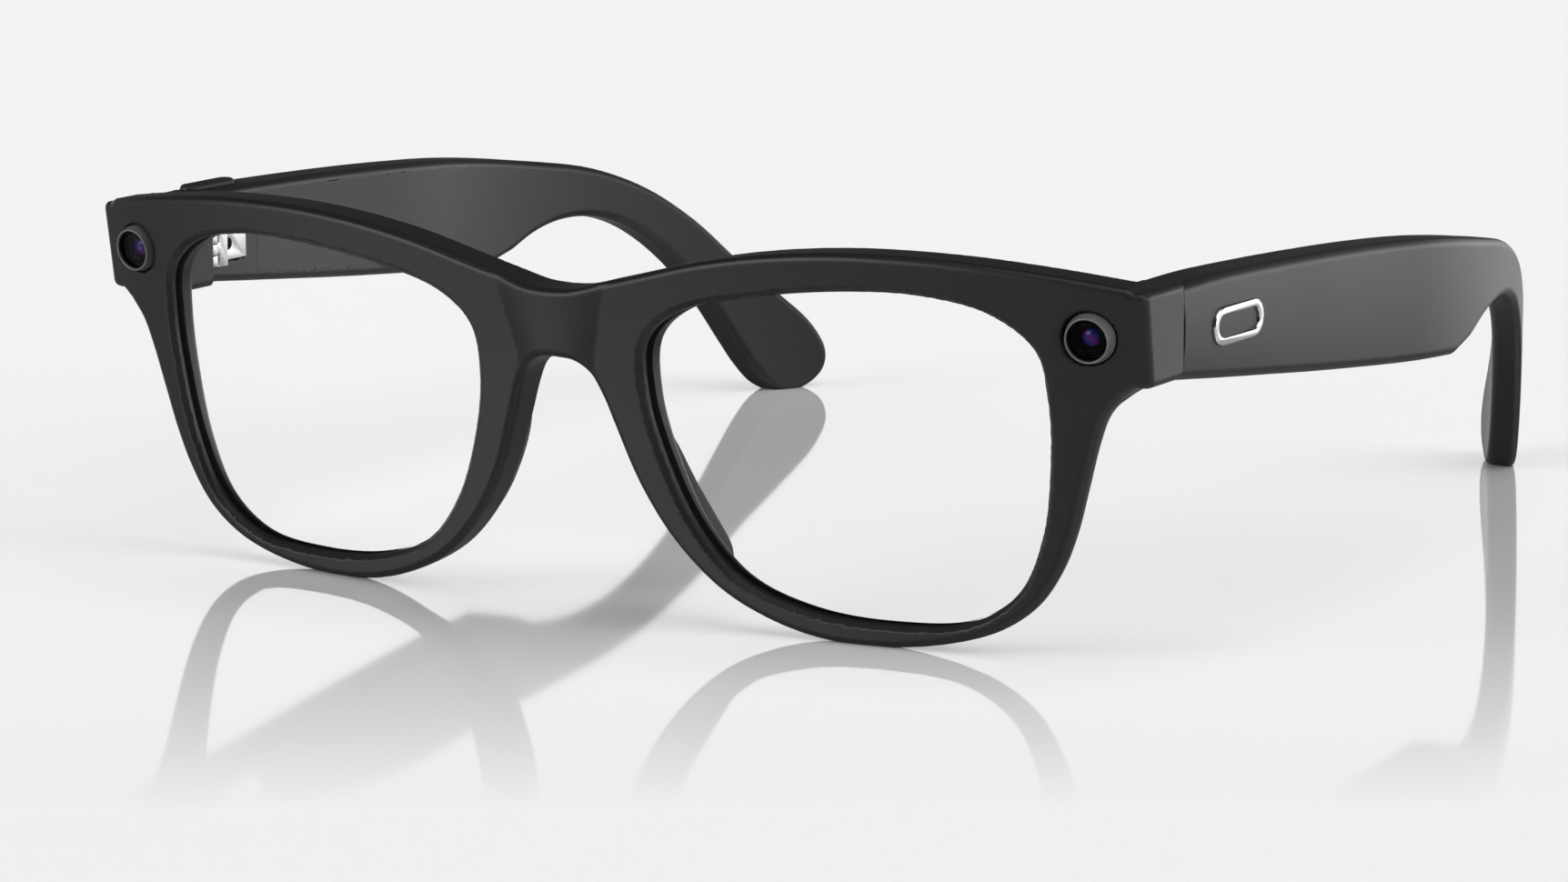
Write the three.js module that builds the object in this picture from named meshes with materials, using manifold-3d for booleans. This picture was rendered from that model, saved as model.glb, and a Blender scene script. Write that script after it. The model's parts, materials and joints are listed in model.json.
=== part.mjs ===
// Smart glasses: a matt black full-rim front with a camera in each end piece, clear lenses, and two hinged
// temples that hold the batteries, boards, speakers, microphones, a shutter button and a power switch.
// Millimetres. +Z is up, the wearer looks along -Y, and the wearer's left is +X. The glasses stand open on
// a table, on the bottoms of both rims and the tips of both temples.
import * as THREE from "three";
import { mergeVertices } from "three/addons/utils/BufferGeometryUtils.js";
import Module from "manifold-3d";

const wasm = await Module();
wasm.setup();
const DEG = Math.PI / 180;

// ---------------------------------------------------------------- driving dimensions
const TILT = 8.5 * DEG; // the front leans forward at the top by this much
const FACE_BEND = [1.15e-3, 1.25e-7]; // depth of the face at u across the front: a u^2 + b u^4
const REAR_TILT = 6.2 * DEG; // the rear of the rims leans less, so they thicken towards the brow
const RIM_THICKNESS = 3.7; // at the bottom of the rims
const RIDGE = { half: 7, proud: 0.75, steps: 10 }; // down the front of the bridge
const GROOVE = { depth: 0.6, from: 1.5, to: 2.5 }; // the lens groove, measured back from the face
const LENS = { bite: 0.45, tongue: [1.65, 2.35], inset: 0.3, body: [1.2, 2.8] };
const END = { inner: 60.4, outer: 71.5, back: 12.1, top: 42.6, bottom: 31.9 };
const RELIEF = { x1: 66.4, front: 10.5 }; // cleared round the hinge's knuckles
const CAMERA = { x: 65.4, y: 0.75, z: 37.3, yaw: 7 * DEG, pitch: 7 * DEG, boreRadius: 3.35 };
const POCKET = { x0: 61.9, x1: 69.8, z0: 33.5, z1: 41.4, front: 6.2 }; // behind each camera
const MODULE_ROOM = { x1: 68.1, z0: 34.7, front: 3.6 }; // the pocket's narrower front part
const HINGE = { x: 63.6, y: 12.7, z0: 33.9, knuckle: 1.3, gap: 0.12, radius: 1.7, pin: 0.7, bore: 0.85 };
const ARM = {
  front: 12.4, back: 141.9, thick: 6.2, thinBy: 2.0, skin: 1.2, wall: 1.7, rebate: 0.8, cover: 1.0, seat: 1.2,
};
const CAVITY = { from: 25.2, to: 92 };
const BUTTON = { y: 20.8, x: 69.2, length: 9.4, width: 2.6, top: 42.85, clearance: 0.15 };
const SWITCH = { y: 31.5, z: 36.4, travel: 2, length: 3.4, width: 1.6 };
const PAD = { from: 1.4, back: 8.3, low: 6.5, high: 24.4, ends: 0.9, middle: 2.4, lean: 0.3, gap: 0.2 };
const ORIGIN_Y = 67.49; // half way from the bridge to the temple tips

// ---------------------------------------------------------------- outlines
// Half of the front's outer outline, u across and v up the leaning face: brow, end piece, rim, nose arch.
const BROW = [[0, 39.2], [3, 39.4], [7, 40.4], [12, 41.7], [19.5, 43.6],
  [28, 45], [38, 45.7], [50, 45.3], [61, 43.9], [70.9, 42]];
const END_CURVE = [[71.5, 41], [71.6, 37], [71.4, 33], [70.4, 31.5]];
const RIM = [
  [68, 29.9], [66.1, 27.6], [64.9, 24.5], [63.5, 19.4], [62, 14], [60.2, 9.6], [57.4, 5.5], [53.2, 2.5],
  [47.4, 0.6], [39, -0.45], [31, 0], [24.4, 1.9], [18.8, 4.9], [13.4, 10.2], [9.5, 16.6], [6.8, 23.6],
  [5.5, 27.2], [4.3, 29.5], [2.4, 30.8], [0, 31.1],
];
// The wall of the lens opening in the +X half.
const OPENING = [
  [38, 41.3], [47, 41.1], [54.4, 39.2], [59.1, 35.2], [60.1, 29.5], [59.9, 22], [58.5, 13.6], [55.4, 7],
  [49.6, 3.2], [40, 2.3], [29.5, 3.3], [21.5, 6.4], [16.5, 12.1], [13.2, 19.6], [11.4, 27.5], [12, 33.8],
  [16.2, 37.5], [26, 40],
];
// The temple in side view, y back and z up: its top edge, its lower edge, and the ear hook.
const ARM_TOP = [[12.4, 42.4], [20, 42.5], [31, 42.2], [45, 41.6], [59, 40.8], [75, 39.5], [90, 37.5]];
const ARM_BOTTOM = [[12.4, 31.7], [22, 30.5], [33, 29.2], [44, 27.9], [56, 26.6], [68, 25.4], [81, 24.4]];
const HOOK = [
  [104, 35], [114, 31.2], [122, 25.9], [129, 19.3], [135.2, 13.8], [139.6, 9.2], [141.7, 5.2], [141.2, 2.2],
  [138.6, 0.1], [135.6, -0.4], [133, 0.9], [130.6, 3.7], [128.2, 7.4], [124.5, 13.2], [119.5, 19.4],
  [113.8, 24.2],
  [108.5, 27], [102, 28.5], [96, 28.4], [91, 27.3], [86.7, 25.7],
];

// ---------------------------------------------------------------- geometry helpers
const vec = (points) => points.map(([a, b]) => new THREE.Vector3(a, b, 0));
const spline = (points, count, closed = false) =>
  new THREE.CatmullRomCurve3(vec(points), closed, "centripetal")
    .getSpacedPoints(count)
    .map((p) => [p.x, p.y]);

function shapeOf(points) {
  return new THREE.Shape(points.map(([a, b]) => new THREE.Vector2(a, b)));
}

function extrude(points, depth) {
  return new THREE.ExtrudeGeometry(shapeOf(points), { depth, bevelEnabled: false });
}

// Prisms from an outline: (x, z) run along Y, (x, y) run along Z, and (y, z) run along X.
function alongY(points, y0, y1) {
  return extrude(points, y1 - y0).rotateX(Math.PI / 2).translate(0, y1, 0);
}

function alongZ(points, z0, z1) {
  return extrude(points, z1 - z0).translate(0, 0, z0);
}

function alongX(points, x0, x1) {
  const turn = new THREE.Matrix4().set(0, 0, 1, 0, 1, 0, 0, 0, 0, 1, 0, 0, 0, 0, 0, 1);
  return extrude(points, x1 - x0).applyMatrix4(turn).translate(x0, 0, 0);
}

function box(x0, x1, y0, y1, z0, z1) {
  const block = new THREE.BoxGeometry(x1 - x0, y1 - y0, z1 - z0);
  return block.translate((x0 + x1) / 2, (y0 + y1) / 2, (z0 + z1) / 2);
}

// A box centred on the Z axis.
const slab = (width, length, z0, z1) => box(-width / 2, width / 2, -length / 2, length / 2, z0, z1);

// A solid of revolution about Z from (radius, height) pairs that start and end on the axis.
function turned(profile, sides = 28) {
  const points = profile.map(([r, h]) => new THREE.Vector2(r, h));
  return new THREE.LatheGeometry(points, sides).rotateX(Math.PI / 2);
}

// A ring about Z from a closed loop of (radius, height) pairs.
function ring(profile, sides = 28) {
  return turned([...profile, profile[0]], sides);
}

function pin(radius, z0, z1, sides = 20) {
  const cylinder = new THREE.CylinderGeometry(radius, radius, z1 - z0, sides);
  return cylinder.rotateX(Math.PI / 2).translate(0, 0, (z0 + z1) / 2);
}

// A stadium outline, a slot with round ends, its long side along the second axis.
function stadium(a, b, width, length, steps = 8) {
  const r = width / 2;
  const straight = length / 2 - r;
  const points = [];
  for (let i = 0; i <= steps; i += 1) {
    const turn = (Math.PI * i) / steps;
    points.push([a + r * Math.cos(turn), b + straight + r * Math.sin(turn)]);
  }
  for (let i = 0; i <= steps; i += 1) {
    const turn = Math.PI + (Math.PI * i) / steps;
    points.push([a + r * Math.cos(turn), b - straight + r * Math.sin(turn)]);
  }
  return points;
}

// The same outline lying along the first axis.
const lying = (a, b, length, width) => stadium(b, a, width, length).map(([q, p]) => [p, q]);

// ---------------------------------------------------------------- solids: cutting and joining
function solid(geometry) {
  const bare = new THREE.BufferGeometry();
  const flat = geometry.index ? geometry.toNonIndexed() : geometry;
  bare.setAttribute("position", flat.getAttribute("position"));
  const merged = mergeVertices(bare, 1e-4);
  const mesh = new wasm.Mesh({
    numProp: 3,
    vertProperties: merged.attributes.position.array,
    triVerts: new Uint32Array(merged.index.array),
  });
  const made = new wasm.Manifold(mesh);
  return made.volume() < 0 ? solid(flipped(merged)) : made;
}

function flipped(geometry) {
  const index = geometry.index.array.slice();
  for (let i = 0; i < index.length; i += 3) {
    [index[i + 1], index[i + 2]] = [index[i + 2], index[i + 1]];
  }
  return geometry.clone().setIndex(new THREE.BufferAttribute(index, 1));
}

function geometryOf(made) {
  const mesh = made.getMesh();
  const geometry = new THREE.BufferGeometry();
  geometry.setAttribute("position", new THREE.BufferAttribute(mesh.vertProperties.slice(), 3));
  geometry.setIndex(new THREE.BufferAttribute(mesh.triVerts.slice(), 1));
  return geometry;
}

const join = (first, ...rest) => rest.reduce((sum, g) => sum.add(solid(g)), solid(first));
const cut = (body, ...tools) => tools.reduce((left, g) => left.subtract(solid(g)), body);

// ---------------------------------------------------------------- materials
const looks = {
  frame: [0x202020, 0.55, 0], pad: [0x252525, 0.6, 0], lens: [0xf4f6f8, 0.05, 0], glass: [0x08080c, 0.05, 0],
  bezel: [0x4a4a4c, 0.35, 0.6], barrel: [0x101010, 0.5, 0],
  chip: [0x2a3550, 0.5, 0.2], steel: [0x8a8c90, 0.3, 1],
  cell: [0xa8adb3, 0.4, 0.6], board: [0x1d4a2c, 0.6, 0], flex: [0xb0702c, 0.5, 0], gold: [0xd2a850, 0.3, 1],
  badge: [0xc8cacc, 0.25, 1], grille: [0x303030, 0.5, 0.8],
};
const materials = Object.fromEntries(
  Object.entries(looks).map(([name, [color, roughness, metalness]]) => [
    name,
    new THREE.MeshStandardMaterial({ color, roughness, metalness }),
  ]),
);

function piece(name, geometry, look) {
  const body = geometry.isBufferGeometry ? solid(geometry) : geometry;
  const mesh = new THREE.Mesh(geometryOf(body), materials[look]);
  mesh.name = name;
  return mesh;
}

// ---------------------------------------------------------------- the front's curved face
const faceDepth = (u) => FACE_BEND[0] * u ** 2 + FACE_BEND[1] * u ** 4;
const FACE_STEPS = 24;
const FACE_REACH = 76;

// The solid behind a leaning, bent face that is moved back by a depth.
function behindFace(depth, tilt) {
  const us = Array.from({ length: FACE_STEPS + 1 }, (_, i) => FACE_REACH * ((2 * i) / FACE_STEPS - 1));
  const front = us.map((u) => [u, faceDepth(u) + depth]);
  return solid(alongZ([...front, [FACE_REACH, 60], [-FACE_REACH, 60]], -12, 60).rotateX(tilt));
}

// A slab of the front between two depths behind the face.
const faceSlab = (from, to) => behindFace(from, TILT).subtract(behindFace(to, TILT));

// Where a point of the face's outline stands in front view, X across and Z up.
const upright = ([u, v]) => [u, v * Math.cos(TILT) + faceDepth(u) * Math.sin(TILT)];

const mirrored = (points) => points.map(([a, b]) => [-a, b]).reverse();
const HALF_OUTLINE = [...spline(BROW, 16), ...spline(END_CURVE, 4), ...spline(RIM, 36)].map(upright);
const OUTLINE = [...HALF_OUTLINE, ...mirrored(HALF_OUTLINE).slice(1, -1)];
const OPENING_CURVE = spline(OPENING.map(upright), 44, true).slice(0, -1);

// An outline moved outwards by a distance along its normals.
function grown(points, by) {
  const n = points.length;
  const next = (i) => points[(i + 1) % n];
  const area = points.reduce((sum, [a, b], i) => sum + a * next(i)[1] - next(i)[0] * b, 0);
  return points.map(([a, b], i) => {
    const [pa, pb] = points[(i + n - 1) % n];
    const [na, nb] = points[(i + 1) % n];
    const length = Math.hypot(na - pa, nb - pb) * Math.sign(area);
    return [a + (by * (nb - pb)) / length, b - (by * (na - pa)) / length];
  });
}

// ---------------------------------------------------------------- front: lenses, pads, flex
function lens() {
  const tongue = solid(alongY(grown(OPENING_CURVE, LENS.bite), -12, 30)).intersect(faceSlab(...LENS.tongue));
  const body = solid(alongY(grown(OPENING_CURVE, -LENS.inset), -12, 30)).intersect(faceSlab(...LENS.body));
  return tongue.add(body);
}

// The nose pad's outline follows the nasal edge of the rim between two heights.
function padOutline(extra, low, high) {
  const edge = spline(spline(RIM, 200).filter(([u, v]) => u < 20 && v > low && v < high), 13).map(upright);
  const last = edge.length - 1;
  const outer = edge.map(([u, v], i) => {
    const [a, b] = edge[Math.max(0, i - 1)];
    const [c, d] = edge[Math.min(last, i + 1)];
    const wide = PAD.ends + (PAD.middle - PAD.ends) * Math.sin((Math.PI * i) / last) + extra;
    const length = Math.hypot(c - a, d - b);
    return [u + (wide * Math.abs(d - b)) / length, v + (wide * Math.abs(c - a)) / length];
  });
  return [...edge.map(([u, v]) => [u - 8 * extra, v]), ...outer.reverse()];
}

// Moves a pad's back away from the nose, the way a nose widens towards the face.
function leanOut(geometry) {
  const p = geometry.getAttribute("position");
  for (let i = 0; i < p.count; i += 1) {
    const depth = p.getY(i) + p.getZ(i) * Math.tan(TILT) - PAD.from;
    p.setX(i, p.getX(i) + PAD.lean * Math.max(0, depth));
  }
  return geometry;
}

function nosePad() {
  const { from, back, low, high } = PAD;
  const rear = spline([[5.2, high], [7.4, high - 2.5], [back, 16], [7.4, low + 3], [4.6, low]], 12);
  const profile = [[0, low - 1], [0, high + 1], ...rear].map(([depth, v]) => onFace(0, depth, v).slice(1));
  const made = solid(alongY(padOutline(0, low, high), -12, 30)).intersect(solid(alongX(profile, 0, 30)));
  return solid(leanOut(geometryOf(made.intersect(behindFace(from, TILT)))));
}

// The step in the rim that the nose pad is bonded into.
function padSeat() {
  const outline = padOutline(PAD.gap, PAD.low - 1, PAD.high + 0.8);
  const made = solid(alongY(outline, -12, 25)).intersect(behindFace(PAD.from - PAD.gap, TILT));
  return solid(leanOut(geometryOf(made)));
}

// The flat cable that joins both end pieces runs inside the brow and drops a little into each end piece.
function browStrip(halfHeight, from, to, reach) {
  const top = spline(spline(BROW, 200).filter(([u]) => u <= reach), 14);
  const half = top.map(([u, v]) => upright([u, v - 2.2 - 0.1 * Math.max(0, u - 52)]));
  const line = [...half.slice(1).map(([u, v]) => [-u, v]).reverse(), ...half];
  const upper = line.map(([u, v]) => [u, v + halfHeight]).reverse();
  const lower = line.map(([u, v]) => [u, v - halfHeight]);
  return solid(alongY([...lower, ...upper], -12, 30)).intersect(faceSlab(from, to));
}

// The point at u across, a depth behind the face and v up it, in the part's own axes.
function onFace(u, depth, v) {
  const w = faceDepth(u) + depth;
  return [u, w * Math.cos(TILT) - v * Math.sin(TILT), v * Math.cos(TILT) + w * Math.sin(TILT)];
}

// ---------------------------------------------------------------- front: end piece and camera (+X side)
// Puts geometry made about Z, nose up, onto the camera's axis: its nose points forward and a little outward.
function onCameraAxis(geometry) {
  const { x, y, z, yaw, pitch } = CAMERA;
  return geometry.rotateX(Math.PI / 2 + pitch).rotateZ(yaw).translate(x, y, z);
}

function cameraPieces(side) {
  const bezel = onCameraAxis(
    ring(
      [[2.45, -0.1], [2.6, 0], [2.75, -0.1], [3.1, -1.5], [3.1, -2.6], [1.95, -2.6], [1.95, -1], [2.45, -1]],
      32,
    ),
  );
  const cover = onCameraAxis(turned([[0, -0.95], [2.35, -0.95], [2.35, -0.45], [0, -0.45]], 24));
  const barrel = onCameraAxis(
    turned(
      [[0, -3.2], [1.85, -3.2], [1.85, -1.3], [1.7, -1.15], [1.45, -1.15], [1.0, -1.75], [0, -1.75]],
      28,
    ),
  );
  const element = onCameraAxis(turned([[0, -1.7], [0.85, -1.7], [0.7, -1.45], [0.4, -1.29], [0, -1.22]], 20));
  const module = onCameraAxis(
    geometryOf(join(box(-2.7, 2.7, -2.7, 2.7, -5.2, -3.4), box(-2, 2, -2.9, -2.1, -5.9, -5))),
  );
  return [
    piece(`camera_bezel_${side}`, bezel, "bezel"),
    piece(`camera_cover_glass_${side}`, cover, "glass"),
    piece(`camera_lens_barrel_${side}`, barrel, "barrel"),
    piece(`camera_lens_${side}`, element, "glass"),
    piece(`camera_module_${side}`, module, "chip"),
  ];
}

// What is cut out of the end piece: the camera's bore and countersink, the pocket, and room for the hinge.
function endCutters() {
  const bore = onCameraAxis(pin(CAMERA.boreRadius, -6, 6, 32));
  const sink = onCameraAxis(turned([[0, -0.9], [3.3, -0.9], [4.6, 0.4], [4.6, 6], [0, 6]], 36));
  const pocket = box(POCKET.x0, POCKET.x1, POCKET.front, END.back + 1, POCKET.z0, POCKET.z1);
  const room = box(POCKET.x0, MODULE_ROOM.x1, MODULE_ROOM.front, POCKET.front + 1, MODULE_ROOM.z0, POCKET.z1);
  const relief = box(END.inner - 1, RELIEF.x1, RELIEF.front, END.back + 1, END.bottom - 1, END.top + 1);
  return [bore, sink, pocket, room, relief];
}

const COVER_BACK = 9.3;
const LEAF_BACK = 10.4;

function endCover() {
  const g = 0.15;
  return box(POCKET.x0 + g, POCKET.x1 - g, COVER_BACK - 1.1, COVER_BACK, POCKET.z0 + g, POCKET.z1 - g);
}

// ---------------------------------------------------------------- hinges (+X side)
const knuckleZ = (i) => HINGE.z0 + i * (HINGE.knuckle + HINGE.gap);
const HINGE_TOP = knuckleZ(4) + HINGE.knuckle;

function knuckles(levels, arm) {
  const made = levels.map((i) => {
    const z = knuckleZ(i);
    const barrel = pin(HINGE.radius, z, z + HINGE.knuckle).translate(HINGE.x, HINGE.y, 0);
    return [barrel, box(...arm, z, z + HINGE.knuckle)];
  });
  return made.flat();
}

function screwHoles(places, radius, y0, y1) {
  return places.map(([x, z]) => pin(radius, -y1, -y0, 16).rotateX(Math.PI / 2).translate(x, 0, z));
}

const LEAF_SCREWS = [[67.9, 35.4], [67.9, 39.4]];

function frontLeaf() {
  const g = 0.15;
  const plate = box(POCKET.x0 + g, POCKET.x1 - g, COVER_BACK + 0.15, LEAF_BACK, POCKET.z0 + g, POCKET.z1 - g);
  const arms = knuckles([0, 2, 4], [POCKET.x0 + g, HINGE.x + 1.6, LEAF_BACK - 0.5, HINGE.y]);
  const bore = pin(HINGE.bore, HINGE.z0 - 1, HINGE_TOP + 1).translate(HINGE.x, HINGE.y, 0);
  const headSeat = pin(1.25, HINGE_TOP - 0.6, HINGE_TOP + 1).translate(HINGE.x, HINGE.y, 0);
  return cut(join(plate, ...arms), bore, headSeat, ...screwHoles(LEAF_SCREWS, 0.95, 8, 12));
}

const TEMPLE_LEAF = { x0: 65.4, x1: 66.15, y0: 14.6, y1: 23.4, z0: 33.6, z1: 41.1 };

function templeLeaf() {
  const t = TEMPLE_LEAF;
  const plate = box(t.x0, t.x1, t.y0, t.y1, t.z0, t.z1);
  const root = box(HINGE.x - 0.9, t.x0 + 0.1, t.y0, t.y0 + 1.6, t.z0, t.z1);
  const arms = knuckles([1, 3], [HINGE.x - 0.9, HINGE.x + 0.9, HINGE.y, t.y0 + 0.1]);
  const bore = pin(HINGE.bore, HINGE.z0 - 1, HINGE_TOP + 1).translate(HINGE.x, HINGE.y, 0);
  const holes = [35.6, 39.2].map((z) =>
    pin(0.8, t.x0 - 1, t.x1 + 1, 16).rotateY(Math.PI / 2).translate(0, 19.8, z),
  );
  return cut(join(plate, root, ...arms), bore, ...holes);
}

function hingeScrew() {
  const shank = pin(HINGE.pin, HINGE.z0 + 0.2, HINGE_TOP - 0.3);
  const head = pin(1.1, HINGE_TOP - 0.5, HINGE_TOP + 0.15);
  const slot = box(-0.15, 0.15, -2, 2, HINGE_TOP - 0.15, HINGE_TOP + 1);
  return geometryOf(cut(join(shank, head), slot)).translate(HINGE.x, HINGE.y, 0);
}

// A small countersunk screw about +Z with its head up at height 0.
function smallScrew(length) {
  const profile = [[0, -length], [0.45, -length], [0.45, -0.5], [0.72, -0.35], [0.72, 0], [0, 0]];
  const body = solid(turned(profile, 16));
  return geometryOf(cut(body, box(-0.12, 0.12, -1, 1, -0.2, 1)));
}

// ---------------------------------------------------------------- the temples' plan curve (+X side)
const BOW = { x: 71.55, y: 12, flare: 0.038, bendFrom: 70, radius: 130 };

function outerX(y) {
  const t = Math.max(0, y - BOW.bendFrom);
  return BOW.x + BOW.flare * (y - BOW.y) - (BOW.radius - Math.sqrt(BOW.radius ** 2 - t ** 2));
}

function thickness(y) {
  const t = Math.min(1, Math.max(0, (y - 60) / 60));
  return ARM.thick - ARM.thinBy * t * t * (3 - 2 * t);
}

const innerX = (y) => outerX(y) - thickness(y);
const ARM_STEPS = 30;

const inFromOuter = (depth) => (y) => outerX(y) - depth;
const inFromInner = (depth) => (y) => innerX(y) + depth;

// A curved slab that follows the temple, between two faces given as functions of y.
function armSlab(outer, inner, y0 = ARM.front, y1 = ARM.back) {
  const ys = Array.from({ length: ARM_STEPS + 1 }, (_, i) => y0 + ((y1 - y0) * i) / ARM_STEPS);
  const far = ys.map((y) => [outer(y), y]);
  const near = ys.map((y) => [inner(y), y]).reverse();
  return solid(alongZ([...far, ...near], -5, 50));
}

const topZ = (y) => heightOn(ARM_TOP_LINE, y);
const bottomZ = (y) => heightOn(ARM_BOTTOM_LINE, y);
const ARM_TOP_LINE = spline([...ARM_TOP, ...HOOK.slice(0, 2)], 40);
const ARM_BOTTOM_LINE = spline([...ARM_BOTTOM, ...HOOK.slice(-3).reverse()], 40);

function heightOn(line, y) {
  const i = Math.max(1, line.findIndex(([at]) => at >= y));
  const [[a, p], [b, q]] = [line[i - 1], line[i]];
  return p + ((q - p) * (y - a)) / (b - a);
}

const ARM_OUTLINE = [...spline([...ARM_TOP, ...HOOK], 62), ...spline(ARM_BOTTOM, 8).reverse()];

// The stretch of the arm's outline from y0 to y1, drawn in by a margin on every side.
function armWindow(y0, y1, margin, steps = 12) {
  const ys = Array.from({ length: steps + 1 }, (_, i) => y0 + margin + ((y1 - y0 - 2 * margin) * i) / steps);
  return [...ys.map((y) => [y, bottomZ(y) + margin]), ...ys.map((y) => [y, topZ(y) - margin]).reverse()];
}

// Places geometry made at the origin (X out, Y along, Z up) at y along the arm,
// a depth in from the outer face.
function onArm(geometry, y, depth, z) {
  const slope = outerX(y + 0.5) - outerX(y - 0.5);
  return geometry.rotateZ(-Math.atan(slope)).translate(outerX(y) - depth, y, z);
}

const middleZ = (y) => (topZ(y) + bottomZ(y)) / 2;

// ---------------------------------------------------------------- temple pieces (+X side)
const GRILLE = { y: 71, length: 9.6, width: 1.5 };
const MIC_Y = 40;
const BADGE = { y: 24.3, z: 36.6, length: 11.4, height: 4.4, stroke: 0.95, sink: 0.35, proud: 0.3 };

function templeShell(hasButton) {
  const body = solid(alongX(ARM_OUTLINE, 40, 80)).intersect(armSlab(inFromOuter(0), inFromInner(0)));
  const feet = box(40, 90, 100, 150, -5, 0);
  const hollow = solid(alongX(armWindow(CAVITY.from, CAVITY.to, ARM.wall), 40, 80)).intersect(
    armSlab(inFromOuter(ARM.skin), inFromInner(-3)),
  );
  const mouth = solid(alongX(armWindow(CAVITY.from, CAVITY.to, ARM.rebate), 40, 80)).intersect(
    armSlab(inFromInner(ARM.seat), inFromInner(-3)),
  );
  const t = TEMPLE_LEAF;
  const leafSeat = box(60, t.x1 + 0.15, t.y0 - 5, t.y1 + 0.2, t.z0 - 0.2, t.z1 + 0.2);
  const slot = onArm(slab(GRILLE.width, GRILLE.length, -2, 3), GRILLE.y, 3, bottomZ(GRILLE.y));
  const port = onArm(pin(0.4, -3, 3, 12), MIC_Y, 3, bottomZ(MIC_Y));
  const shell = cut(body, feet, leafSeat, slot, port)
    .subtract(hollow)
    .subtract(mouth)
    .subtract(badgeRing(0.2, -3, BADGE.sink));
  return hasButton ? cut(shell, ...buttonCutters()) : shell;
}

// The badge is a plain ring, a pill in outline, let into the outer face between two depths.
function badgeRing(clearance, from, to) {
  const { y, z, length, height, stroke } = BADGE;
  const outer = alongX(lying(y, z, length + clearance, height + clearance), 60, 80);
  const inner = alongX(lying(y, z, length - 2 * stroke - clearance, height - 2 * stroke - clearance), 50, 90);
  return cut(solid(outer), inner).intersect(armSlab(inFromOuter(from), inFromOuter(to)));
}

function innerCover(hasSwitch) {
  const plate = solid(alongX(armWindow(CAVITY.from, CAVITY.to, ARM.rebate + 0.2), 40, 80)).intersect(
    armSlab(inFromInner(ARM.cover), inFromInner(0)),
  );
  if (!hasSwitch) return plate;
  const s = SWITCH;
  return cut(plate, alongX(lying(s.y, s.z, s.length + s.travel + 0.4, s.width + 0.4), 60, 72));
}

// ---------------------------------------------------------------- shutter button (on the wearer's right)
function buttonCutters() {
  const b = BUTTON;
  const slot = alongZ(stadium(b.x, b.y, b.width + 2 * b.clearance, b.length + 2 * b.clearance), 38, 50);
  const room = box(b.x - 2, b.x + 1.8, b.y - 6.9, b.y + 6.9, 35, 40.8);
  return [slot, room];
}

function shutterButton() {
  const b = BUTTON;
  const cap = alongZ(stadium(b.x, b.y, b.width, b.length), 40, b.top);
  const edge = alongZ(stadium(b.x, b.y, b.width - 0.7, b.length - 0.7), b.top - 0.1, b.top + 0.25);
  const flange = alongZ(stadium(b.x, b.y, b.width + 0.5, b.length + 1.4), 39.6, 40.2);
  return join(cap, edge, flange);
}

function shutterSwitch() {
  const b = BUTTON;
  const profile = [[0, 38.6], [1.3, 38.6], [1.1, 38.9], [0.6, 39.05], [0, 39.1]];
  const dome = turned(profile, 20).translate(b.x, b.y, 0);
  return join(box(b.x - 1.6, b.x + 1.6, b.y - 3, b.y + 3, 37.4, 38.7), dome);
}

// ---------------------------------------------------------------- power switch (on the wearer's left)
function powerSlider() {
  const s = SWITCH;
  const x = innerX(s.y);
  const y = s.y - s.travel / 2;
  const knob = alongX(lying(y, s.z, s.length, s.width), x - 0.55, x + 1.6);
  return join(knob, box(x + 1.35, x + 1.75, y - 2.6, y + 2.6, s.z - 1.3, s.z + 1.3));
}

function powerSwitchBody() {
  const s = SWITCH;
  const x = innerX(s.y);
  return box(x + 1.9, x + 3.2, s.y - 4, s.y + 4, s.z - 1.7, s.z + 1.7);
}

// ---------------------------------------------------------------- what the arm holds
function armInsides(side, startY) {
  const cellLength = 54 - startY;
  const cellY = startY + cellLength / 2;
  const cellBlock = box(-1.25, 1.25, -cellLength / 2, cellLength / 2, -3.6, 3.6);
  const cell = onArm(cellBlock, cellY, 3.35, middleZ(cellY) + 0.7);
  const boardY = 64;
  const board = onArm(
    geometryOf(
      join(
        box(-0.4, 0.4, -8.2, 8.2, -4.2, 4.2),
        box(-1.2, -0.3, -6.8, -0.6, -3.2, 3.2),
        box(-1.2, -0.3, 0.6, 6.4, -2.6, 2.6),
        box(0.3, 0.9, -5, 4, -3, 3),
      ),
    ),
    boardY, 3.3, middleZ(boardY) + 0.4,
  );
  const speakerY = 82;
  const speaker = onArm(
    geometryOf(join(box(-1.1, 1.1, -5, 5, -3, 3), box(-0.7, 0.7, -6, 6, -2.3, 2.3))),
    speakerY, 3, middleZ(speakerY) + 1.1,
  );
  const mesh = slab(GRILLE.width - 0.24, GRILLE.length - 0.3, 0.35, 0.8);
  const grille = onArm(mesh, GRILLE.y, 3, bottomZ(GRILLE.y));
  const mic = onArm(box(-1.2, 1.2, -1.7, 1.7, 2.1, 2.7), MIC_Y, 3, bottomZ(MIC_Y));
  const touch = solid(alongX(armWindow(34, 74, 3.2), 40, 80)).intersect(
    armSlab(inFromOuter(ARM.skin + 0.15), inFromOuter(ARM.skin + 0.4)),
  );
  return [
    piece(`battery_${side}`, cell, "cell"),
    piece(`main_board_${side}`, board, "board"),
    piece(`speaker_${side}`, speaker, "barrel"),
    piece(`speaker_grille_${side}`, grille, "grille"),
    piece(`microphone_${side}`, mic, "steel"),
    piece(`touch_sensor_${side}`, touch, "flex"),
  ];
}

// ---------------------------------------------------------------- assembly
const CELL_FROM = { left: 36.5, right: 33.5 };

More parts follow.
